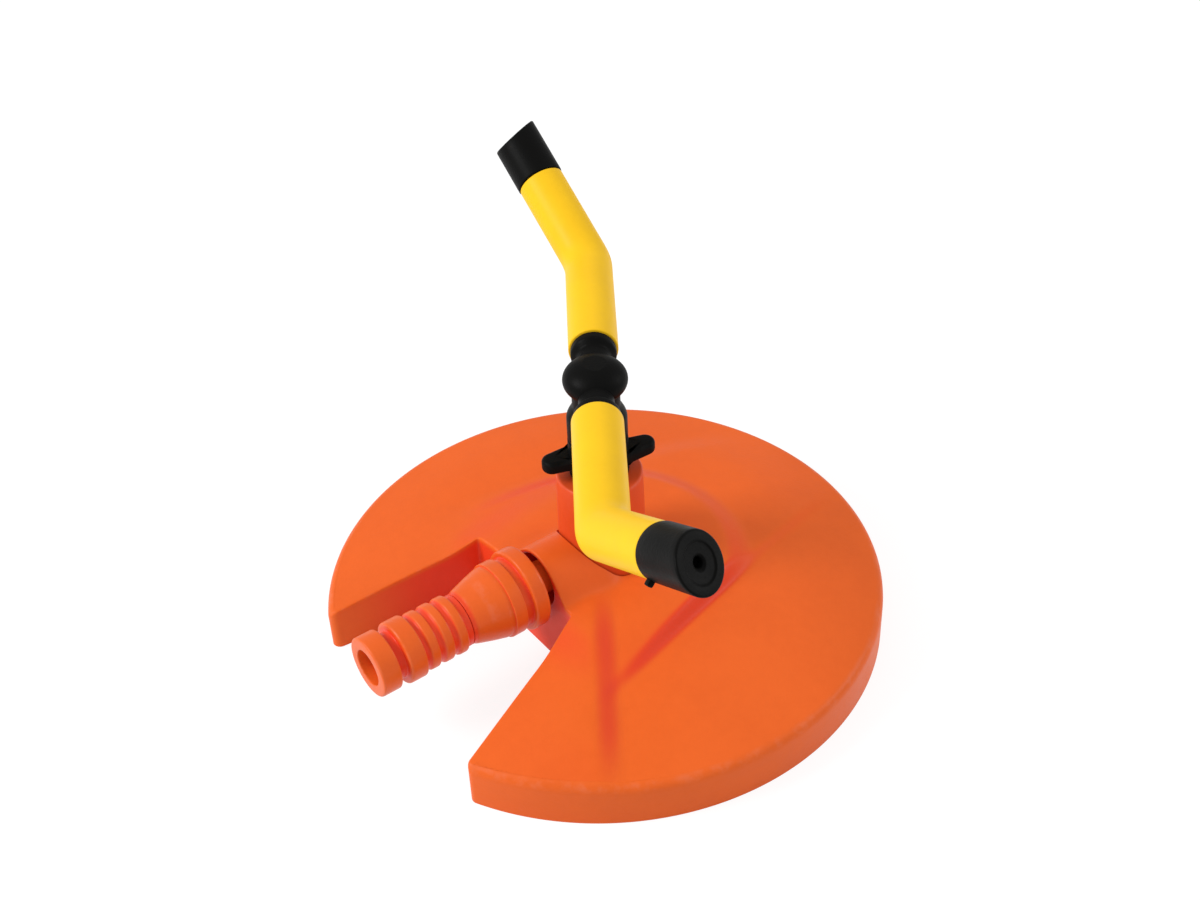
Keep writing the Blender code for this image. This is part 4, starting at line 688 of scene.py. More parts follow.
def crest(x, y):
    """Height of the shallow crest that runs out to the rim, negative in the valley beside it."""
    along = x * np.cos(CREST_AZIMUTH) + y * np.sin(CREST_AZIMUTH)
    across = y * np.cos(CREST_AZIMUTH) - x * np.sin(CREST_AZIMUTH) + CREST_ASIDE
    flank = ease(1.0 + across / CREST_FLANK)
    valley = 1.0 - VALLEY_DEPTH * ease(across / VALLEY_WIDTH)
    valley += (VALLEY_DEPTH - 1.0) * ease((across - VALLEY_WIDTH) / VALLEY_REACH)
    ends = ease((along - CREST_START) / CREST_FADE) * ease((CREST_END - along) / CREST_FADE)
    return CREST_HEIGHT * np.where(across < 0.0, flank, valley) * ends


def relief(x, y):
    """Height of the disc's top: a low dome, plus the mound inside its two banks, less the terrace
    behind it and the hollow beside the far bank, plus the crest."""
    sizes = bpy.context.scene.sprinkler_sizes
    radius = np.hypot(x, y)
    disc = sizes.rim_height + DOME_RISE * (1.0 - np.clip(radius / sizes.rim_radius, 0.0, 1.0) ** 2)
    distance = np.hypot(MOUND_SQUASH * (y - MOUND_CENTRE), x)
    fall = (soft_ramp(distance - MOUND_RADIUS, MOUND_SOFTNESS) / MOUND_REACH) ** MOUND_POWER
    mound = sizes.mound_height - MOUND_FALL * fall
    inside = np.where(x > 0.0, bank(y, x, NEAR_BANK), bank(y, -x, FAR_BANK))
    terrace = ease((radius - TERRACE_RADIUS) / TERRACE_FALL) * ease((y - TERRACE_START) / TERRACE_BLEND)
    lift = soft_ramp(mound - disc, MOUND_BLEND) * (1.0 - terrace)
    lift = lift + TERRACE_LIFT * terrace * ease((sizes.rim_radius - radius) / TERRACE_FADE)
    height = disc + inside * lift * ease((y + MOUND_FRONT) / MOUND_FRONT_FADE)
    hollow = HOLLOW_DEPTH
    for place, (start, fade) in zip((-x, -radius, y, -y), HOLLOW_EDGES):
        hollow = hollow * ease((place - start) / fade)
    return height - hollow + crest(x, y)


def hooded_relief(x, y):
    """The relief with the hood over the inlet added: a parabola across X in front of the riser."""
    height = relief(x, y)
    hood = INLET_HEIGHT + HOOD_RISE * (1.0 - (x / HOOD_HALF) ** 2)
    return height + soft_ramp(hood - height, HOOD_BLEND) * ease(-y / HOOD_FADE)


def cavity_roof(x, y):
    """Height of the inner skin: one wall below the lowest relief around each point, and under the
    inlet tube's own wall."""
    around = [relief(x + ROOF_REACH * np.cos(t), y + ROOF_REACH * np.sin(t))
              for t in np.arange(8) * (np.pi / 4)]
    roof = np.min([relief(x, y), *around], axis=0) - bpy.context.scene.sprinkler_sizes.shell_wall
    under = INLET_HEIGHT - np.sqrt(np.maximum(TUBE_OUTSIDE ** 2 - x * x, 0.0))
    return np.where((np.abs(x) < TUBE_OUTSIDE) & (y < 0.0), np.minimum(roof, under), roof)


def painted_slope_shade(points):
    """Painted shade of the top: 0 on a flat part and down to -1 on its steepest slopes, by the rise
    over the run, and weaker towards the back."""
    x, y = points[..., 0], points[..., 1]
    rise_x = relief(x + SLOPE_STEP, y) - relief(x - SLOPE_STEP, y)
    rise_y = relief(x, y + SLOPE_STEP) - relief(x, y - SLOPE_STEP)
    steep = ease((np.hypot(rise_x, rise_y) / (2 * SLOPE_STEP) - SLOPE_START) / SLOPE_SPAN)
    return -steep * (1.0 - BACK_LOSS * ease((y - BACK_START) / BACK_FADE))


def notch_side(side, wall, rim):
    """Plan of one side of the notch, from the inlet's panel to the rim, with its outward normals.

    It runs along the back wall, round the inner corner, along the side wall and round the rim's
    corner. Also returns how far each point is on the way round the rim's corner.
    """
    offset, splay = wall
    along = np.array([side * np.sin(splay), -np.cos(splay)])
    inward = np.array([side * np.cos(splay), np.sin(splay)])
    corner = np.array([side * offset, NOTCH_BACK])
    hub = corner - np.array([side * INNER_CORNER / np.tan((np.pi / 2 + splay) / 2), INNER_CORNER])
    back = np.linspace((side * MOUTH_HALF, NOTCH_BACK), (hub[0], NOTCH_BACK), SIDE_ROWS)
    bend = arc(hub, INNER_CORNER, np.pi / 2, np.arctan2(inward[1], inward[0]), BEND_ROWS)
    base = corner + inward * RIM_CORNER
    middle = base @ along
    reach = np.sqrt(middle ** 2 - base @ base + (rim - RIM_CORNER) ** 2) - middle
    centre = base + along * reach
    straight = np.linspace(bend[-1], centre - inward * RIM_CORNER, WALL_ROWS)
    on_wall = np.arctan2(-inward[1], -inward[0])
    turn = (np.arctan2(centre[1], centre[0]) - on_wall + np.pi) % (2 * np.pi) - np.pi
    corner = arc(centre, RIM_CORNER, on_wall, on_wall + turn, CORNER_ROWS)
    points = np.concatenate([back, bend[1:], straight[1:], corner[1:]])
    normals = np.concatenate([
        np.repeat([[0.0, -1.0]], len(back), 0), (hub - bend[1:]) / INNER_CORNER,
        np.repeat(-inward[None], len(straight) - 1, 0), (corner[1:] - centre) / RIM_CORNER])
    before = len(points) - len(corner)
    return points, normals, ease((np.arange(len(points)) - before) / (len(corner) - 1))


def coons(first, last, start, end, start_share, end_share):
    """Plan grid between four curves: the straight lines from first to last, each moved by how far
    an end curve strays from its own straight line, in full up to a fifth of the way and fading to
    nothing at seven tenths."""
    s = np.linspace(0.0, 1.0, len(first))[:, None]
    t = ((1 - s) * start_share + s * end_share)[..., None]
    points = (1 - t) * first[:, None] + t * last[:, None]
    for curve, shares, i, weight in ((start, start_share, 0, 1 - s), (end, end_share, -1, s)):
        stray = curve - ((1 - shares[:, None]) * first[i] + shares[:, None] * last[i])
        kept = ease((weight - STRAY_NONE) / (STRAY_WHOLE - STRAY_NONE))
        points = points + kept[..., None] * stray
    return points


def shares_of(curve):
    """Distance along a curve at each of its points, as a share of its whole length."""
    steps = np.linalg.norm(np.diff(curve, axis=0), axis=1)
    return np.concatenate([[0.0], np.cumsum(steps)]) / steps.sum()


def raised(plan, surface):
    """Plan points with the height of the surface over them."""
    return stacked(plan[..., 0], plan[..., 1], surface(plan[..., 0], plan[..., 1]))


def disc_skin(inset, hole, surface, wall_edge, rim_edge):
    """One skin of the base shell, the outer one with inset 0, and the outline of its walls.

    The plan is a C: the outer curve is the rim, the inner one runs straight to the hub's hole,
    round it and straight back, and the two end curves follow the notch. A second patch lies
    between the straight stretches, from the inlet's panel to the hole. Every outline point moves
    in by the rounding of its upper edge.
    """
    rim = bpy.context.scene.sprinkler_sizes.rim_radius
    ends = [notch_side(1, NOTCH_RIGHT, rim), notch_side(-1, NOTCH_LEFT, rim)]
    sides = [(points - normals * inset, normals, wall_edge + (rim_edge - wall_edge) * at_corner)
             for points, normals, at_corner in ends]
    corners = [np.arctan2(points[-1, 1], points[-1, 0]) for points, _, _ in ends]
    front = HOLE_FRONT + HOLE_LAG
    a = np.concatenate([np.linspace(corners[0], front, SIDE_ALONG + 1)[:-1],
                        np.linspace(front, np.pi - front, HUB_ALONG + 1)[:-1],
                        np.linspace(np.pi - front, corners[1] + 2 * np.pi, SIDE_ALONG + 1)])
    out = ring(1.0, a)
    round_rim = ((rim - inset) * out, out, np.full(len(a), rim_edge))
    panel = NOTCH_BACK + inset
    hub = ring(hole, np.linspace(HOLE_FRONT, np.pi - HOLE_FRONT, HUB_ALONG + 1))
    right = np.linspace((MOUTH_HALF, panel + wall_edge), hub[0], SIDE_ALONG + 1)
    left = np.linspace(hub[-1], (-MOUTH_HALF, panel + wall_edge), SIDE_ALONG + 1)
    inner = np.concatenate([right[:-1], hub, left[1:]])
    starts = [points - normals * edge[:, None] for points, normals, edge in (*sides, round_rim)]
    top = coons(inner, starts[2], starts[0], starts[1], shares_of(starts[0]), shares_of(starts[1]))
    mouth = np.linspace(left[-1], right[0], MOUTH)
    hub_front = ring(hole, np.linspace(-np.pi - HOLE_FRONT, HOLE_FRONT, MOUTH))
    hood = np.linspace(mouth, hub_front, SIDE_ALONG + 1)
    across = (stacked(mouth[1:-1, 0], panel), np.repeat([[0.0, -1.0]], MOUTH - 2, 0),
              np.full(MOUTH - 2, wall_edge))
    walls = [np.concatenate(x) for x in zip(sides[0], round_rim, [x[::-1] for x in sides[1]], across)]
    return {"top": raised(top, surface), "hood": raised(hood, surface), "walls": walls,
            "hub": raised(hub, surface), "hub_front": raised(hub_front, surface)}


def curled_edge(skin):
    """The rounded upper edge of a skin's walls, and how rubbed each of its rows is."""
    points, normals, rounding = skin["walls"]
    turns, inset, fall = quarter_round(1.0, CURL_ROWS)
    plan = points - normals * (rounding * inset[:, None])[..., None]
    rows = raised(plan, hooded_relief)
    rows[..., 2] -= rounding * fall[:, None]
    return rows, np.sin(2 * turns)[:, None]


def columns_down(top, low):
    """Rows of points from the given ones straight down to the height low."""
    return np.linspace(top, top * [1, 1, 0] + [0, 0, low], DOWN_ROWS + 1)


def inlet_tube(mouth, hub, mouth_edge):
    """The inlet hole, from the border of its panel in the notch to its border on the hub's hole.

    Straight lines run from the panel's border to the circle x = r cos d, z = axis + r sin d, the
    circle runs back to where it meets the hole, and straight lines on the unrolled hole run to the
    second border. The direction d of each line is the one in which its border point lies.
    """
    flat = mouth[:, [0, 2]]
    rolled = stacked(HUB_HOLE * (np.arctan2(hub[:, 1], hub[:, 0]) - FRONT), hub[:, 2])
    first, last = [np.unwrap(np.arctan2(p[:, 1] - INLET_HEIGHT, p[:, 0])) for p in (flat, rolled)]
    last = last + 2 * np.pi * np.round((first[0] - last[0]) / (2 * np.pi))
    panel = np.linspace(flat, ring(INLET_HOLE + WALL_EDGE, first) + [0.0, INLET_HEIGHT], PANEL_ROWS)
    _, inset, depth = quarter_round(WALL_EDGE, LIP_ROWS)
    lip_radius, lip_depth = INLET_HOLE + inset[1:, None], NOTCH_BACK + depth[1:, None]
    t = np.linspace(0.0, 1.0, PANEL_ROWS)[1:, None]
    d = (1 - t) * first + t * last
    x = INLET_HOLE * np.cos(d)
    y = (1 - t) * (NOTCH_BACK + WALL_EDGE) - t * np.sqrt(HUB_HOLE ** 2 - x ** 2)
    meeting = stacked(HUB_HOLE * np.arcsin(INLET_HOLE * np.cos(last) / HUB_HOLE),
                      INLET_HEIGHT + INLET_HOLE * np.sin(last))
    inside = np.linspace(meeting, rolled, PANEL_ROWS)[1:]
    rows = np.concatenate([
        stacked(panel[..., 0], NOTCH_BACK, panel[..., 1]),
        stacked(lip_radius * np.cos(first), lip_depth, INLET_HEIGHT + lip_radius * np.sin(first)),
        stacked(x, y, INLET_HEIGHT + INLET_HOLE * np.sin(d)),
        ring(HUB_HOLE, inside[..., 0] / HUB_HOLE + FRONT, inside[..., 1])])
    # Painted shade over the whole inlet hole; the mouth row takes the notch walls' shade, the far row none
    edge = np.full(rows.shape[:2], -1.0)
    edge[0], edge[-1] = mouth_edge, 0.0
    return patch(rows, False, True, edge)


def make_ribs():
    """Upright ribs under the shell: a narrow section carried outwards, its upper side in the shell."""
    sizes = bpy.context.scene.sprinkler_sizes
    out = np.linspace(HUB_HOLE + HUB_WALL / 2, sizes.rim_radius - sizes.shell_wall / 2, RIB_ALONG)
    across = np.array(RIB_SECTION) * RIB_HALF
    patches = []
    for number in range(RIB_COUNT):
        turn = (number - 1) * RIB_STEP
        x, y = out[:, None] * np.cos(turn), out[:, None] * np.sin(turn)
        z = np.repeat([RIB_LOW], len(out), 0)
        z[:, [0, 5]] = relief(x, y) - sizes.shell_wall / 2
        patches.append(patch(capped(stacked(x - across * np.sin(turn), y + across * np.cos(turn), z)),
                             False, True))
    return patches


def make_disc():
    """The whole base shell: outer skin, edges and walls, ground lip, inner skin, hub tube, inlet
    hole, ribs and screw bosses."""
    sizes = bpy.context.scene.sprinkler_sizes
    wall = sizes.shell_wall
    outer = disc_skin(0.0, HUB_HOLE, hooded_relief, WALL_EDGE, sizes.rim_rounding)
    inner = disc_skin(wall, HUB_HOLE + HUB_WALL, cavity_roof, 0.0, 0.0)
    curl, rubbed = curled_edge(outer)
    upright = columns_down(curl[-1], 0.0)
    # Painted shade on the notch walls, growing from the rim inwards; none along their top row
    from_rim = sizes.rim_radius - np.hypot(upright[..., 0], upright[..., 1])
    notch_painted_shade = -ease((from_rim - NOTCH_START) / NOTCH_FADE)
    notch_painted_shade[0] = 0.0
    inner_top = raised(inner["walls"][0], cavity_roof)
    foot = np.stack([upright[-1], inner_top * [1, 1, 0], inner_top])
    foot_edge = np.stack([notch_painted_shade[-1], 0 * notch_painted_shade[-1], 0 * notch_painted_shade[-1]])
    hub = columns_down(outer["hub"], HUB_BOTTOM)
    hub_front = columns_down(outer["hub_front"], HUB_BOTTOM)
    hub_in = np.concatenate([inner["hub"], inner["hub_front"][1:-1]])
    hub_low = np.concatenate([hub[-1], hub_front[-1, 1:-1]])
    collar = np.stack([hub_low, hub_in * [1, 1, 0] + [0, 0, HUB_BOTTOM], hub_in])
    fading = np.linspace(1.0, 0.0, len(curl))[:, None]
    in_mouth = (np.arange(MOUTH) - MOUTH + 1) % curl.shape[1]
    walled = slice(curl.shape[1] - MOUTH + 2)
    # The top, the hood and the rim's curl carry painted shade on their slopes; the curl also carries wear
    patches = [patch(outer["top"], edge=painted_slope_shade(outer["top"])),
               patch(outer["hood"], edge=painted_slope_shade(outer["hood"])),
               patch(curl, False, True, rubbed + fading * painted_slope_shade(curl[:1])),
               patch(upright[:, walled], edge=notch_painted_shade[:, walled]), patch(foot, False, True, foot_edge),
               patch(inner["top"]), patch(inner["hood"]), patch(hub), patch(collar, False, True),
               inlet_tube(border_of(upright[:, in_mouth]), border_of(hub_front),
                          border_of(notch_painted_shade[:, in_mouth]))]
    patches += make_ribs()
    for x, y in ring(BOSS_CIRCLE, np.pi / 4 + np.arange(4) * np.pi / 2):
        top = float(relief(x, y)) - wall / 2
        profile = [(0, top, 0), (BOSS_RADIUS, top, 0), (BOSS_RADIUS, RIB_BOTTOM, BOSS_ROUNDING),
                   (0, RIB_BOTTOM, 0)]
        patches.append(turned(profile, ((x, y, 0), (1, 0, 0), (0, 0, 1)), 32))
    return make_piece("disc_shell", patches)


# Riser and inlet plug


def port_window(radius_at):
    """Front of the riser round its port: straight lines on the unrolled post from the window's
    border to the port's circle, then the circle's wall, the flat face, the bore and its floor."""
    side = np.linspace(-WINDOW_HALF, WINDOW_HALF, WINDOW_STEPS + 1)
    rise = np.linspace(WINDOW_LOW, WINDOW_HIGH, WINDOW_STEPS + 1)
    border = border_of(stacked(side, rise[:, None]))
    flat_x = radius_at(border[:, 1]) * np.sin(border[:, 0])
    direction = np.arctan2(border[:, 1] - INLET_HEIGHT, flat_x)
    port = ring(PORT_RADIUS, direction) + [0.0, INLET_HEIGHT]
    circle = stacked(np.arcsin(port[:, 0] / radius_at(port[:, 1])), port[:, 1])
    angles, heights = np.moveaxis(np.linspace(border, circle, WINDOW_ROWS), -1, 0)
    edge = 0.0004
    stations = [(PORT_RADIUS, PORT_FACE), (PORT_RADIUS - edge, PORT_FACE), (PORT_BORE + edge, PORT_FACE),
                (PORT_BORE, PORT_FACE - edge), (PORT_BORE, PORT_FLOOR), (0.0, PORT_FLOOR)]
    inner = [stacked(radius * np.cos(direction), -out, INLET_HEIGHT + radius * np.sin(direction))
             for radius, out in stations]
    return np.concatenate([ring(radius_at(heights), angles + FRONT, heights), inner])


def bayonet_lug(turn, low):
    """Closed rectangle across the neck's wall, carried round the axis, with both ends drawn to
    their middle."""
    a = turn + np.linspace(-LUG_HALF, LUG_HALF, 25)[:, None]
    r, z = np.array(LUG_SECTION).T
    return patch(capped(ring(r, a, low + z)), False, True)


def make_post():
    """The riser: a turned profile whose front is left open for the port's window."""
    sizes = bpy.context.scene.sprinkler_sizes
    shoulder = sizes.post_height

    def radius_at(z):
        share_up = (z - FLANGE_TOP) / (shoulder - FLANGE_TOP)
        return sizes.post_base + (sizes.post_top - sizes.post_base) * share_up

    top = [(radius_at(WINDOW_HIGH), WINDOW_HIGH, 0), (sizes.post_top, shoulder, 0.0014),
           (NECK_RADIUS, shoulder, 0.0006), (NECK_RADIUS, shoulder + NECK_HEIGHT, 0.0008),
           (NECK_BORE, shoulder + NECK_HEIGHT, 0), (NECK_BORE, shoulder - NECK_FLOOR, 0),
           (0.0, shoulder - NECK_FLOOR, 0)]
    bottom = [(0.0, 0.0, 0), (FOOT_RADIUS, 0.0, 0.0006), (FOOT_RADIUS, FLANGE_LOW, 0.0004),
              (FLANGE_RADIUS, FLANGE_LOW, 0.0005), (FLANGE_RADIUS, FLANGE_TOP, 0.0005),
              (sizes.post_base, FLANGE_TOP, 0.0008), (radius_at(WINDOW_LOW), WINDOW_LOW, 0)]
    back = np.linspace(WINDOW_HALF, 2 * np.pi - WINDOW_HALF, 4 * WINDOW_STEPS + 1)
    front = np.linspace(-WINDOW_HALF, WINDOW_HALF, WINDOW_STEPS + 1)[1:-1]
    around = np.concatenate([back, front + 2 * np.pi])
    z = np.linspace(WINDOW_LOW, WINDOW_HIGH, WINDOW_STEPS + 1)[:, None]
    patches = []
    for profile in (top, bottom):
        curve, wear_and_shade = soften(profile, 6)
        r, height = curve.T[..., None]
        patches.append(patch(ring(r, around + FRONT, height), False, True, wear_and_shade[:, None]))
    patches += [patch(ring(radius_at(z), back + FRONT, z)), patch(port_window(radius_at), False, True)]
    patches += [bayonet_lug(turn, shoulder + LUG_RISE) for turn in (0.0, np.pi)]
    return make_piece("riser_post", patches)


def make_plug():
    """Inlet plug: threaded shank, six-sided flange with turned-down corners, and the stem."""
    def hexagon(r, z, a):
        flat = np.cos(np.pi / 6) / np.cos((a + np.pi / 6) % (np.pi / 3) - np.pi / 6)
        return np.where(r > HEXAGON_INSIDE, r * flat, r), z

    plug = turned(PLUG_SECTION, INLET, 96, True, 4, hexagon)
    return make_piece("inlet_stem", [plug], sharp=28)


# Collar, hub, arms and nozzles


def wing_plan(sizes):
    """Plan of a finger wing along +X: a round lobe whose root flares to one side."""
    middle = sizes.wing_tip - sizes.wing_lobe
    foot = ring(WING_ROOT, -WING_FLARE)
    lean = np.array([middle, 0.0]) - foot
    tangent = np.arctan2(lean[1], lean[0]) - np.arcsin(sizes.wing_lobe / np.hypot(*lean)) - np.pi / 2
    lobe = arc((middle, 0.0), sizes.wing_lobe, tangent, np.pi / 2, 40)
    shoulder = (WING_ROOT * 0.97, sizes.wing_lobe)
    return np.concatenate([np.linspace(foot, lobe[0], 14)[:-1], lobe,
                           np.linspace(lobe[-1], shoulder, 10)[1:], np.linspace(shoulder, foot, 14)[1:-1]])


def pillow(outline, high, rounding, axes):
    """A flat outline raised to the height high, with rounded edges above and below."""
    tangent = np.roll(outline, -1, 0) - np.roll(outline, 1, 0)
    normal = unit(stacked(tangent[:, 1], -tangent[:, 0]))
    a, inset, rise = quarter_round(rounding, CURL_ROWS)
    rings = outline - normal * inset[:, None, None]
    middle = np.broadcast_to(outline.mean(0), (1, *outline.shape))
    plan = np.concatenate([middle, rings, rings[::-1], middle])
    z = np.concatenate([[0.0], rise, high - rise[::-1], [high]])
    edge = np.concatenate([[0.0], np.sin(2 * a), np.sin(2 * a[::-1]), [0.0]])
    rows = stacked(plan[..., 0], plan[..., 1], z[:, None])
    return patch(placed(rows, *axes), False, True, edge[:, None])


def make_collar():
    """Bayonet nut: a turned body and two finger wings."""
    sizes = bpy.context.scene.sprinkler_sizes
    low = sizes.post_height + SEAT_GAP
    ledge, roof = low + COLLAR_LEDGE, COLLAR_TOP - COLLAR_ROOF
    profile = [(COLLAR_RADIUS, COLLAR_TOP, 0.0010), (COLLAR_RADIUS, low, 0.0010), (0.0099, low, 0.0003),
               (0.0099, ledge, 0), (0.0116, ledge, 0), (0.0116, roof, 0), (0.0086, roof, 0),
               (0.0086, COLLAR_TOP, 0.0004)]
    patches = [turned(profile, UPRIGHT, 96, True)]
    for a in (sizes.wing_turn, sizes.wing_turn + np.pi):
        axes = ((0, 0, low + WING_RISE), (np.cos(a), np.sin(a), 0), (0, 0, 1))
        patches.append(pillow(wing_plan(sizes), WING_HEIGHT, WING_ROUNDING, axes))
    return make_piece("finger_collar", patches)


def arm_line(sizes, side):
    """Directions of the run and the tip of arm a (0) or b (1), and the point where they meet."""
    a = sizes.arm_turn + side * np.pi
    tip = ring(np.cos(sizes.tip_rise), a + sizes.tip_turn, np.sin(sizes.tip_rise))
    run = ring(1.0, a, 0.0)
    return run, tip, run * sizes.arm_reach + [0, 0, sizes.arm_height]


def make_hub():
    """Ball with a waisted skirt below and a neck, cup and spigot on both sides."""
    sizes = bpy.context.scene.sprinkler_sizes
    r = sizes.ball_radius
    a = np.linspace(np.arccos(BALL_FLAT / r), -np.arccos(SKIRT_NECK / r), 40)
    ball = stacked(r * np.cos(a), sizes.ball_height + sizes.ball_half * np.sin(a), 0.0005 * (a == a[0]))
    profile = [(0.0, ball[0, 1], 0.0), *ball, *SKIRT_SECTION]
    patches = [turned(profile, UPRIGHT, 96, rounding=4)]
    for side in (0, 1):
        axes = ((0, 0, sizes.arm_height), (0, 0, 1), arm_line(sizes, side)[0])
        patches.append(turned(BRANCH_SECTION, axes, 96))
    return make_piece("hub_ball", patches)


def make_arm(side):
    """Tube with a mitred, softened bend and its wall turned in at both ends.

    Every line along the tube is straight up to the plane that halves the bend and straight beyond
    it. Round the bend, the ellipse in that plane moves by (1 - t) squared times the bend's reach
    back along the first run plus t squared times the reach forward along the tip.
    """
    sizes = bpy.context.scene.sprinkler_sizes
    run, tip, corner = arm_line(sizes, side)
    across = unit(np.cross(run, tip))
    halving = unit(run + tip)
    a = np.arange(96)[:, None] * (2 * np.pi / 96)

    def lines(radius, slide):
        """The tube's lines at a radius, drawn back by slide at both ends."""
        rings = [radius * (across * np.cos(a) + np.cross(along, across) * np.sin(a)) for along in (run, tip)]
        mitre = rings[0] - run * (rings[0] @ halving / (run @ halving))[:, None]
        start = rings[0] + run * (ARM_START + slide) + [0, 0, sizes.arm_height]
        end = rings[1] + corner + tip * (sizes.tip_length - slide)
        t = np.linspace(0.0, 1.0, 13)[:, None, None]
        bend = corner + mitre + (t ** 2 * tip - (1 - t) ** 2 * run) * sizes.arm_bend
        return np.concatenate([np.linspace(start, bend[0], 30), bend[1:-1], np.linspace(bend[-1], end, 30)])

    outer, inner = lines(sizes.arm_radius, ARM_EDGE), lines(sizes.arm_radius - sizes.arm_wall, 0.0)
    _, inset, fall = quarter_round(ARM_EDGE, ARM_CURL)
    curls = [lines(sizes.arm_radius - i, f) for i, f in zip(inset[:-1], fall[:-1])]
    rows = [c[0] for c in curls] + [*outer] + [c[-1] for c in curls[::-1]] + [*inner[::-1]]
    rubbed = np.zeros((len(rows), 1))
    rubbed[:ARM_CURL] = rubbed[len(outer) + 3:len(outer) + 8] = 1.0
    return make_piece(f"arm_tube_{'ab'[side]}", [patch(np.array(rows), True, True, rubbed)])


def make_nozzle(side):
    """Nozzle with a slanted end: a turned profile whose heights near the end follow the plane
    z = face less x times the tangent of the slant."""
    sizes = bpy.context.scene.sprinkler_sizes
    _, tip, corner = arm_line(sizes, side)
    down = unit(tip * tip[2] - [0, 0, 1])
    x_axis = down * np.cos(NOZZLE_ROLL) + np.cross(tip, down) * np.sin(NOZZLE_ROLL)
    r = sizes.nozzle_radius
    start = sizes.tip_length + SEAT_GAP
    face = start + sizes.nozzle_length
    level = start + LEVEL_PART

    def slant(radius, z, a):
        follow = np.clip((z - level) / (face - level), 0.0, 1.0)
        return radius, z - follow * radius * np.cos(a) * np.tan(sizes.nozzle_slant)

    groove, orifice = face - NOZZLE_GROOVE, face - ORIFICE_DEPTH
    profile = [*SPIGOT_SECTION, (0.0084, start, 0), (r, start, 0.0008), (r, start + 0.006, 0),
               (r, start + 0.013, 0), (r, face - 0.004, 0), (r, face, 0.0011), (0.0074, face, 0.0005),
               (0.0068, groove, 0.0005), (0.0030, groove, 0.0004), (ORIFICE, face - 0.0020, 0.0003),
               (ORIFICE, orifice, 0), (0.0, orifice, 0)]
    out = x_axis * np.cos(POINTER_TURN) + np.cross(tip, x_axis) * np.sin(POINTER_TURN)
    centre = corner + tip * (start + POINTER_ALONG) + out * (r + POINTER_OUT)
    patches = [turned(profile, (corner, x_axis, tip), 96, warp=slant),
               rounded_block(POINTER_SIZE, (centre, out, tip))]
    return make_piece(f"nozzle_tip_{'ab'[side]}", patches)


# Stage


def make_floor():
    """A wide round floor that shows white to the camera and keeps the object's shadow."""
    a = np.arange(64) * (2 * np.pi / 64)
    points = ring(np.array([0.0, 0.5, 2.0, 6.0])[:, None], a, FLOOR_LEVEL)
    floor = make_piece("stage_floor", [patch(points, False, True)])
    tree, shader = start_material("floor_paper")
    path = add_node(tree, "ShaderNodeLightPath").outputs
    seen = math(tree, "MAXIMUM", path["Is Camera Ray"], path["Is Glossy Ray"])
    seen = math(tree, "MAXIMUM", seen, path["Is Transmission Ray"])
    fibres = spread(tree, noise(tree, place_in(tree), 90.0, 3.0, 0.6), 0.3, 0.7, 0.985, 1.0)
    lit = mixed(tree, seen, GREY, (0.22, 0.22, 0.22, 1.0))
    feed(shader, {"Roughness": 0.9, "Specular IOR Level": 0.0, "Emission Color": WHITE,
                  "Base Color": mixed(tree, 1.0, lit, fibres, "MULTIPLY"),
                  "Emission Strength": math(tree, "MULTIPLY", seen, FLOOR_GLOW)})
    floor.data.materials.append(bpy.data.materials["floor_paper"])


def make_world(scene):
    """Even pale surroundings that light softly and look white."""
    world = bpy.data.worlds.new("studio")
    world.use_nodes = True
    tree = world.node_tree
    path = add_node(tree, "ShaderNodeLightPath").outputs
    seen = math(tree, "MAXIMUM", path["Is Camera Ray"], path["Is Transmission Ray"])
    strength = math(tree, "ADD", math(tree, "MULTIPLY", seen, 1.0 - WORLD_LIGHT), WORLD_LIGHT)
    feed(tree.nodes["Background"], {"Color": WHITE, "Strength": strength})
    scene.world = world


def make_light(scene, name, place, power):
    """A square soft lamp at place that faces the sprinkler."""
    data = bpy.data.lights.new(name, "AREA")
    data.shape = "SQUARE"
    data.size = LAMP_SIZE
    data.energy = power
    lamp = bpy.data.objects.new(name, data)
    lamp.location = place
    lamp.rotation_euler = (Vector(LAMP_TARGET) - Vector(place)).to_track_quat("-Z", "Y").to_euler()
    scene.collection.objects.link(lamp)


def make_camera(scene):
    """The photograph's viewpoint."""
    data = bpy.data.cameras.new("view")
    data.lens = CAMERA_LENS
    data.sensor_width = CAMERA_SENSOR
    camera = bpy.data.objects.new("view", data)
    place = Vector(CAMERA_PLACE)
    look = (Vector(CAMERA_TARGET) - place).to_track_quat("-Z", "Y").to_matrix()
    camera.matrix_world = Matrix.Translation(place) @ (look @ Matrix.Rotation(CAMERA_ROLL, 3, "Z")).to_4x4()
    scene.collection.objects.link(camera)
    scene.camera = camera


# Operators


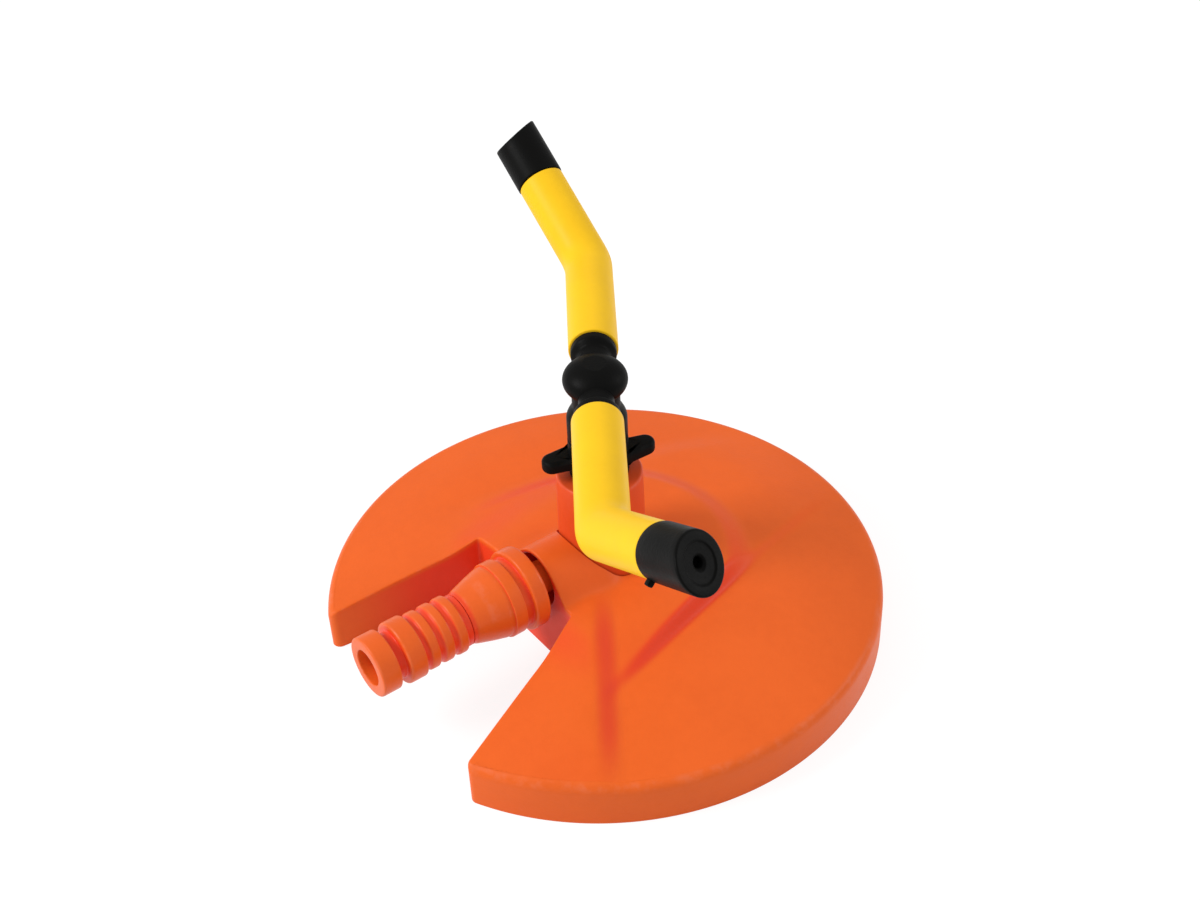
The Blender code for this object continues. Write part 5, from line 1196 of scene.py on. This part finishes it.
class MakeFinishes(bpy.types.Operator):
    """Make the shared node groups and every material."""

    bl_idname = "sprinkler.make_finishes"
    bl_label = "Make finishes"

    def execute(self, context):
        f = context.scene.sprinkler_finishes
        make_colour_group()
        make_grain_group()
        make_scuff_group()
        # The base and the connector get the painted shade colour
        make_plastic("base_plastic", f.base_colour, 0.42, f.drift, f.wear, 22, 800, 0.00004, swell=0.6,
                     specular=0.15, painted_shade=f.painted_shade_colour)
        make_plastic("post_plastic", f.shaded_post_colour, 0.40, f.drift, f.wear, 40, 900, 0.00003)
        make_plastic("connector_plastic", f.connector_colour, 0.36, f.drift, f.wear, 60, 900, 0.00003,
                     painted_shade=f.painted_shade_colour)
        make_plastic("arm_plastic", f.arm_colour, 0.45, f.drift * 0.6, 0.0, 45, 700, 0.00002, specular=0.12)
        make_plastic("moulded_black", f.black_colour, 0.46, f.drift, f.wear * 0.2, 60, 1100, 0.00004,
                     specular=0.05)
        make_plastic("pale_plastic", f.white_colour, 0.40, f.drift, 0.0, 80, 1200, 0.00002)
        make_plastic("soft_rubber", f.rubber_colour, 0.60, f.drift, 0.0, 90, 1600, 0.00003)
        make_steel("drawn_steel", f.steel_colour)
        return {"FINISHED"}


class MakeBase(bpy.types.Operator):
    """Build the base shell."""

    bl_idname = "sprinkler.make_base"
    bl_label = "Base shell"

    def execute(self, context):
        dress(make_disc(), "base", "orange_shell", "base_plastic", "base_shell")
        return {"FINISHED"}


class MakeRiser(bpy.types.Operator):
    """Build the riser and the plug in its port."""

    bl_idname = "sprinkler.make_riser"
    bl_label = "Riser and inlet plug"

    def execute(self, context):
        dress(make_post(), "base", "orange_riser", "post_plastic", "riser")
        dress(make_plug(), "base", "orange_connector", "connector_plastic", "inlet_plug")
        return {"FINISHED"}


class MakeConnector(bpy.types.Operator):
    """Build the hose connector: body, release sleeve and clamp nut."""

    bl_idname = "sprinkler.make_connector"
    bl_label = "Hose connector"

    def execute(self, context):
        # The third number is the radius under which a piece's grooves get painted shade
        for name, section, groove, body, node in (
                ("connector_barrel", BARREL_SECTION, 0.0126, "connector", "connector_body"),
                ("sleeve_ring", SLEEVE_SECTION, 0.0170, "sleeve", "release_sleeve"),
                ("ribbed_nut", NUT_SECTION, 0.0131, "nut", "clamp_nut")):
            piece = make_piece(name, [turned(section, INLET, 112, True, 6, groove=groove)])
            dress(piece, body, "orange_connector", "connector_plastic", node)
        return {"FINISHED"}


class MakeCollar(bpy.types.Operator):
    """Build the bayonet nut with its finger wings."""

    bl_idname = "sprinkler.make_collar"
    bl_label = "Finger collar"

    def execute(self, context):
        dress(make_collar(), "collar", "black_plastic", "moulded_black", "wing_collar")
        return {"FINISHED"}


class MakeHead(bpy.types.Operator):
    """Build the hub, the two arms and their nozzles."""

    bl_idname = "sprinkler.make_head"
    bl_label = "Spinning head"

    def execute(self, context):
        dress(make_hub(), "head", "black_head", "moulded_black", "head_hub")
        for side, letter in enumerate("ab"):
            dress(make_arm(side), "head", "yellow_arm", "arm_plastic", f"arm_{letter}")
            dress(make_nozzle(side), f"nozzle_end_{letter}", "black_nozzle", "moulded_black",
                  f"nozzle_{letter}")
        return {"FINISHED"}


class FinishFittings(bpy.types.Operator):
    """Give the screws, seals, spring and bearing parts their finishes."""

    bl_idname = "sprinkler.finish_fittings"
    bl_label = "Fittings"

    def execute(self, context):
        for finish, names in FITTINGS.items():
            for name in names.split():
                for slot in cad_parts[name].material_slots:
                    slot.material = bpy.data.materials[finish]
        return {"FINISHED"}


class MakeStage(bpy.types.Operator):
    """Lay the pale floor and set the lights, the world and the camera."""

    bl_idname = "sprinkler.make_stage"
    bl_label = "Stage"

    def execute(self, context):
        make_floor()
        make_world(context.scene)
        make_light(context.scene, "key", *KEY_LAMP)
        make_light(context.scene, "fill", *FILL_LAMP)
        make_camera(context.scene)
        context.scene.view_settings.view_transform = "Standard"
        return {"FINISHED"}


class SprinklerPanel(bpy.types.Panel):
    """Sizes, finishes and the buttons that build each piece."""

    bl_idname = "VIEW3D_PT_sprinkler"
    bl_label = "Sprinkler"
    bl_space_type = "VIEW_3D"
    bl_region_type = "UI"
    bl_category = "Sprinkler"

    def draw(self, context):
        for group in (context.scene.sprinkler_sizes, context.scene.sprinkler_finishes):
            box = self.layout.box()
            for name in group.__annotations__:
                box.prop(group, name)
        for operator in OPERATORS:
            self.layout.operator(operator.bl_idname)


GROUPS = (SprinklerSizes, SprinklerFinishes)
OPERATORS = (MakeFinishes, MakeBase, MakeRiser, MakeConnector, MakeCollar, MakeHead, FinishFittings,
             MakeStage)


def register():
    """Register the classes and hang the two property groups on the scene."""
    for item in (*GROUPS, *OPERATORS, SprinklerPanel):
        bpy.utils.register_class(item)
    bpy.types.Scene.sprinkler_sizes = bpy.props.PointerProperty(type=SprinklerSizes)
    bpy.types.Scene.sprinkler_finishes = bpy.props.PointerProperty(type=SprinklerFinishes)


def unregister():
    """Take the property groups and the classes away again."""
    del bpy.types.Scene.sprinkler_finishes
    del bpy.types.Scene.sprinkler_sizes
    for item in (SprinklerPanel, *OPERATORS[::-1], *GROUPS[::-1]):
        bpy.utils.unregister_class(item)


def main():
    register()
    bpy.ops.sprinkler.make_finishes()
    bpy.ops.sprinkler.make_base()
    bpy.ops.sprinkler.make_riser()
    bpy.ops.sprinkler.make_connector()
    bpy.ops.sprinkler.make_collar()
    bpy.ops.sprinkler.make_head()
    bpy.ops.sprinkler.finish_fittings()
    bpy.ops.sprinkler.make_stage()


if __name__ == "__main__":
    main()
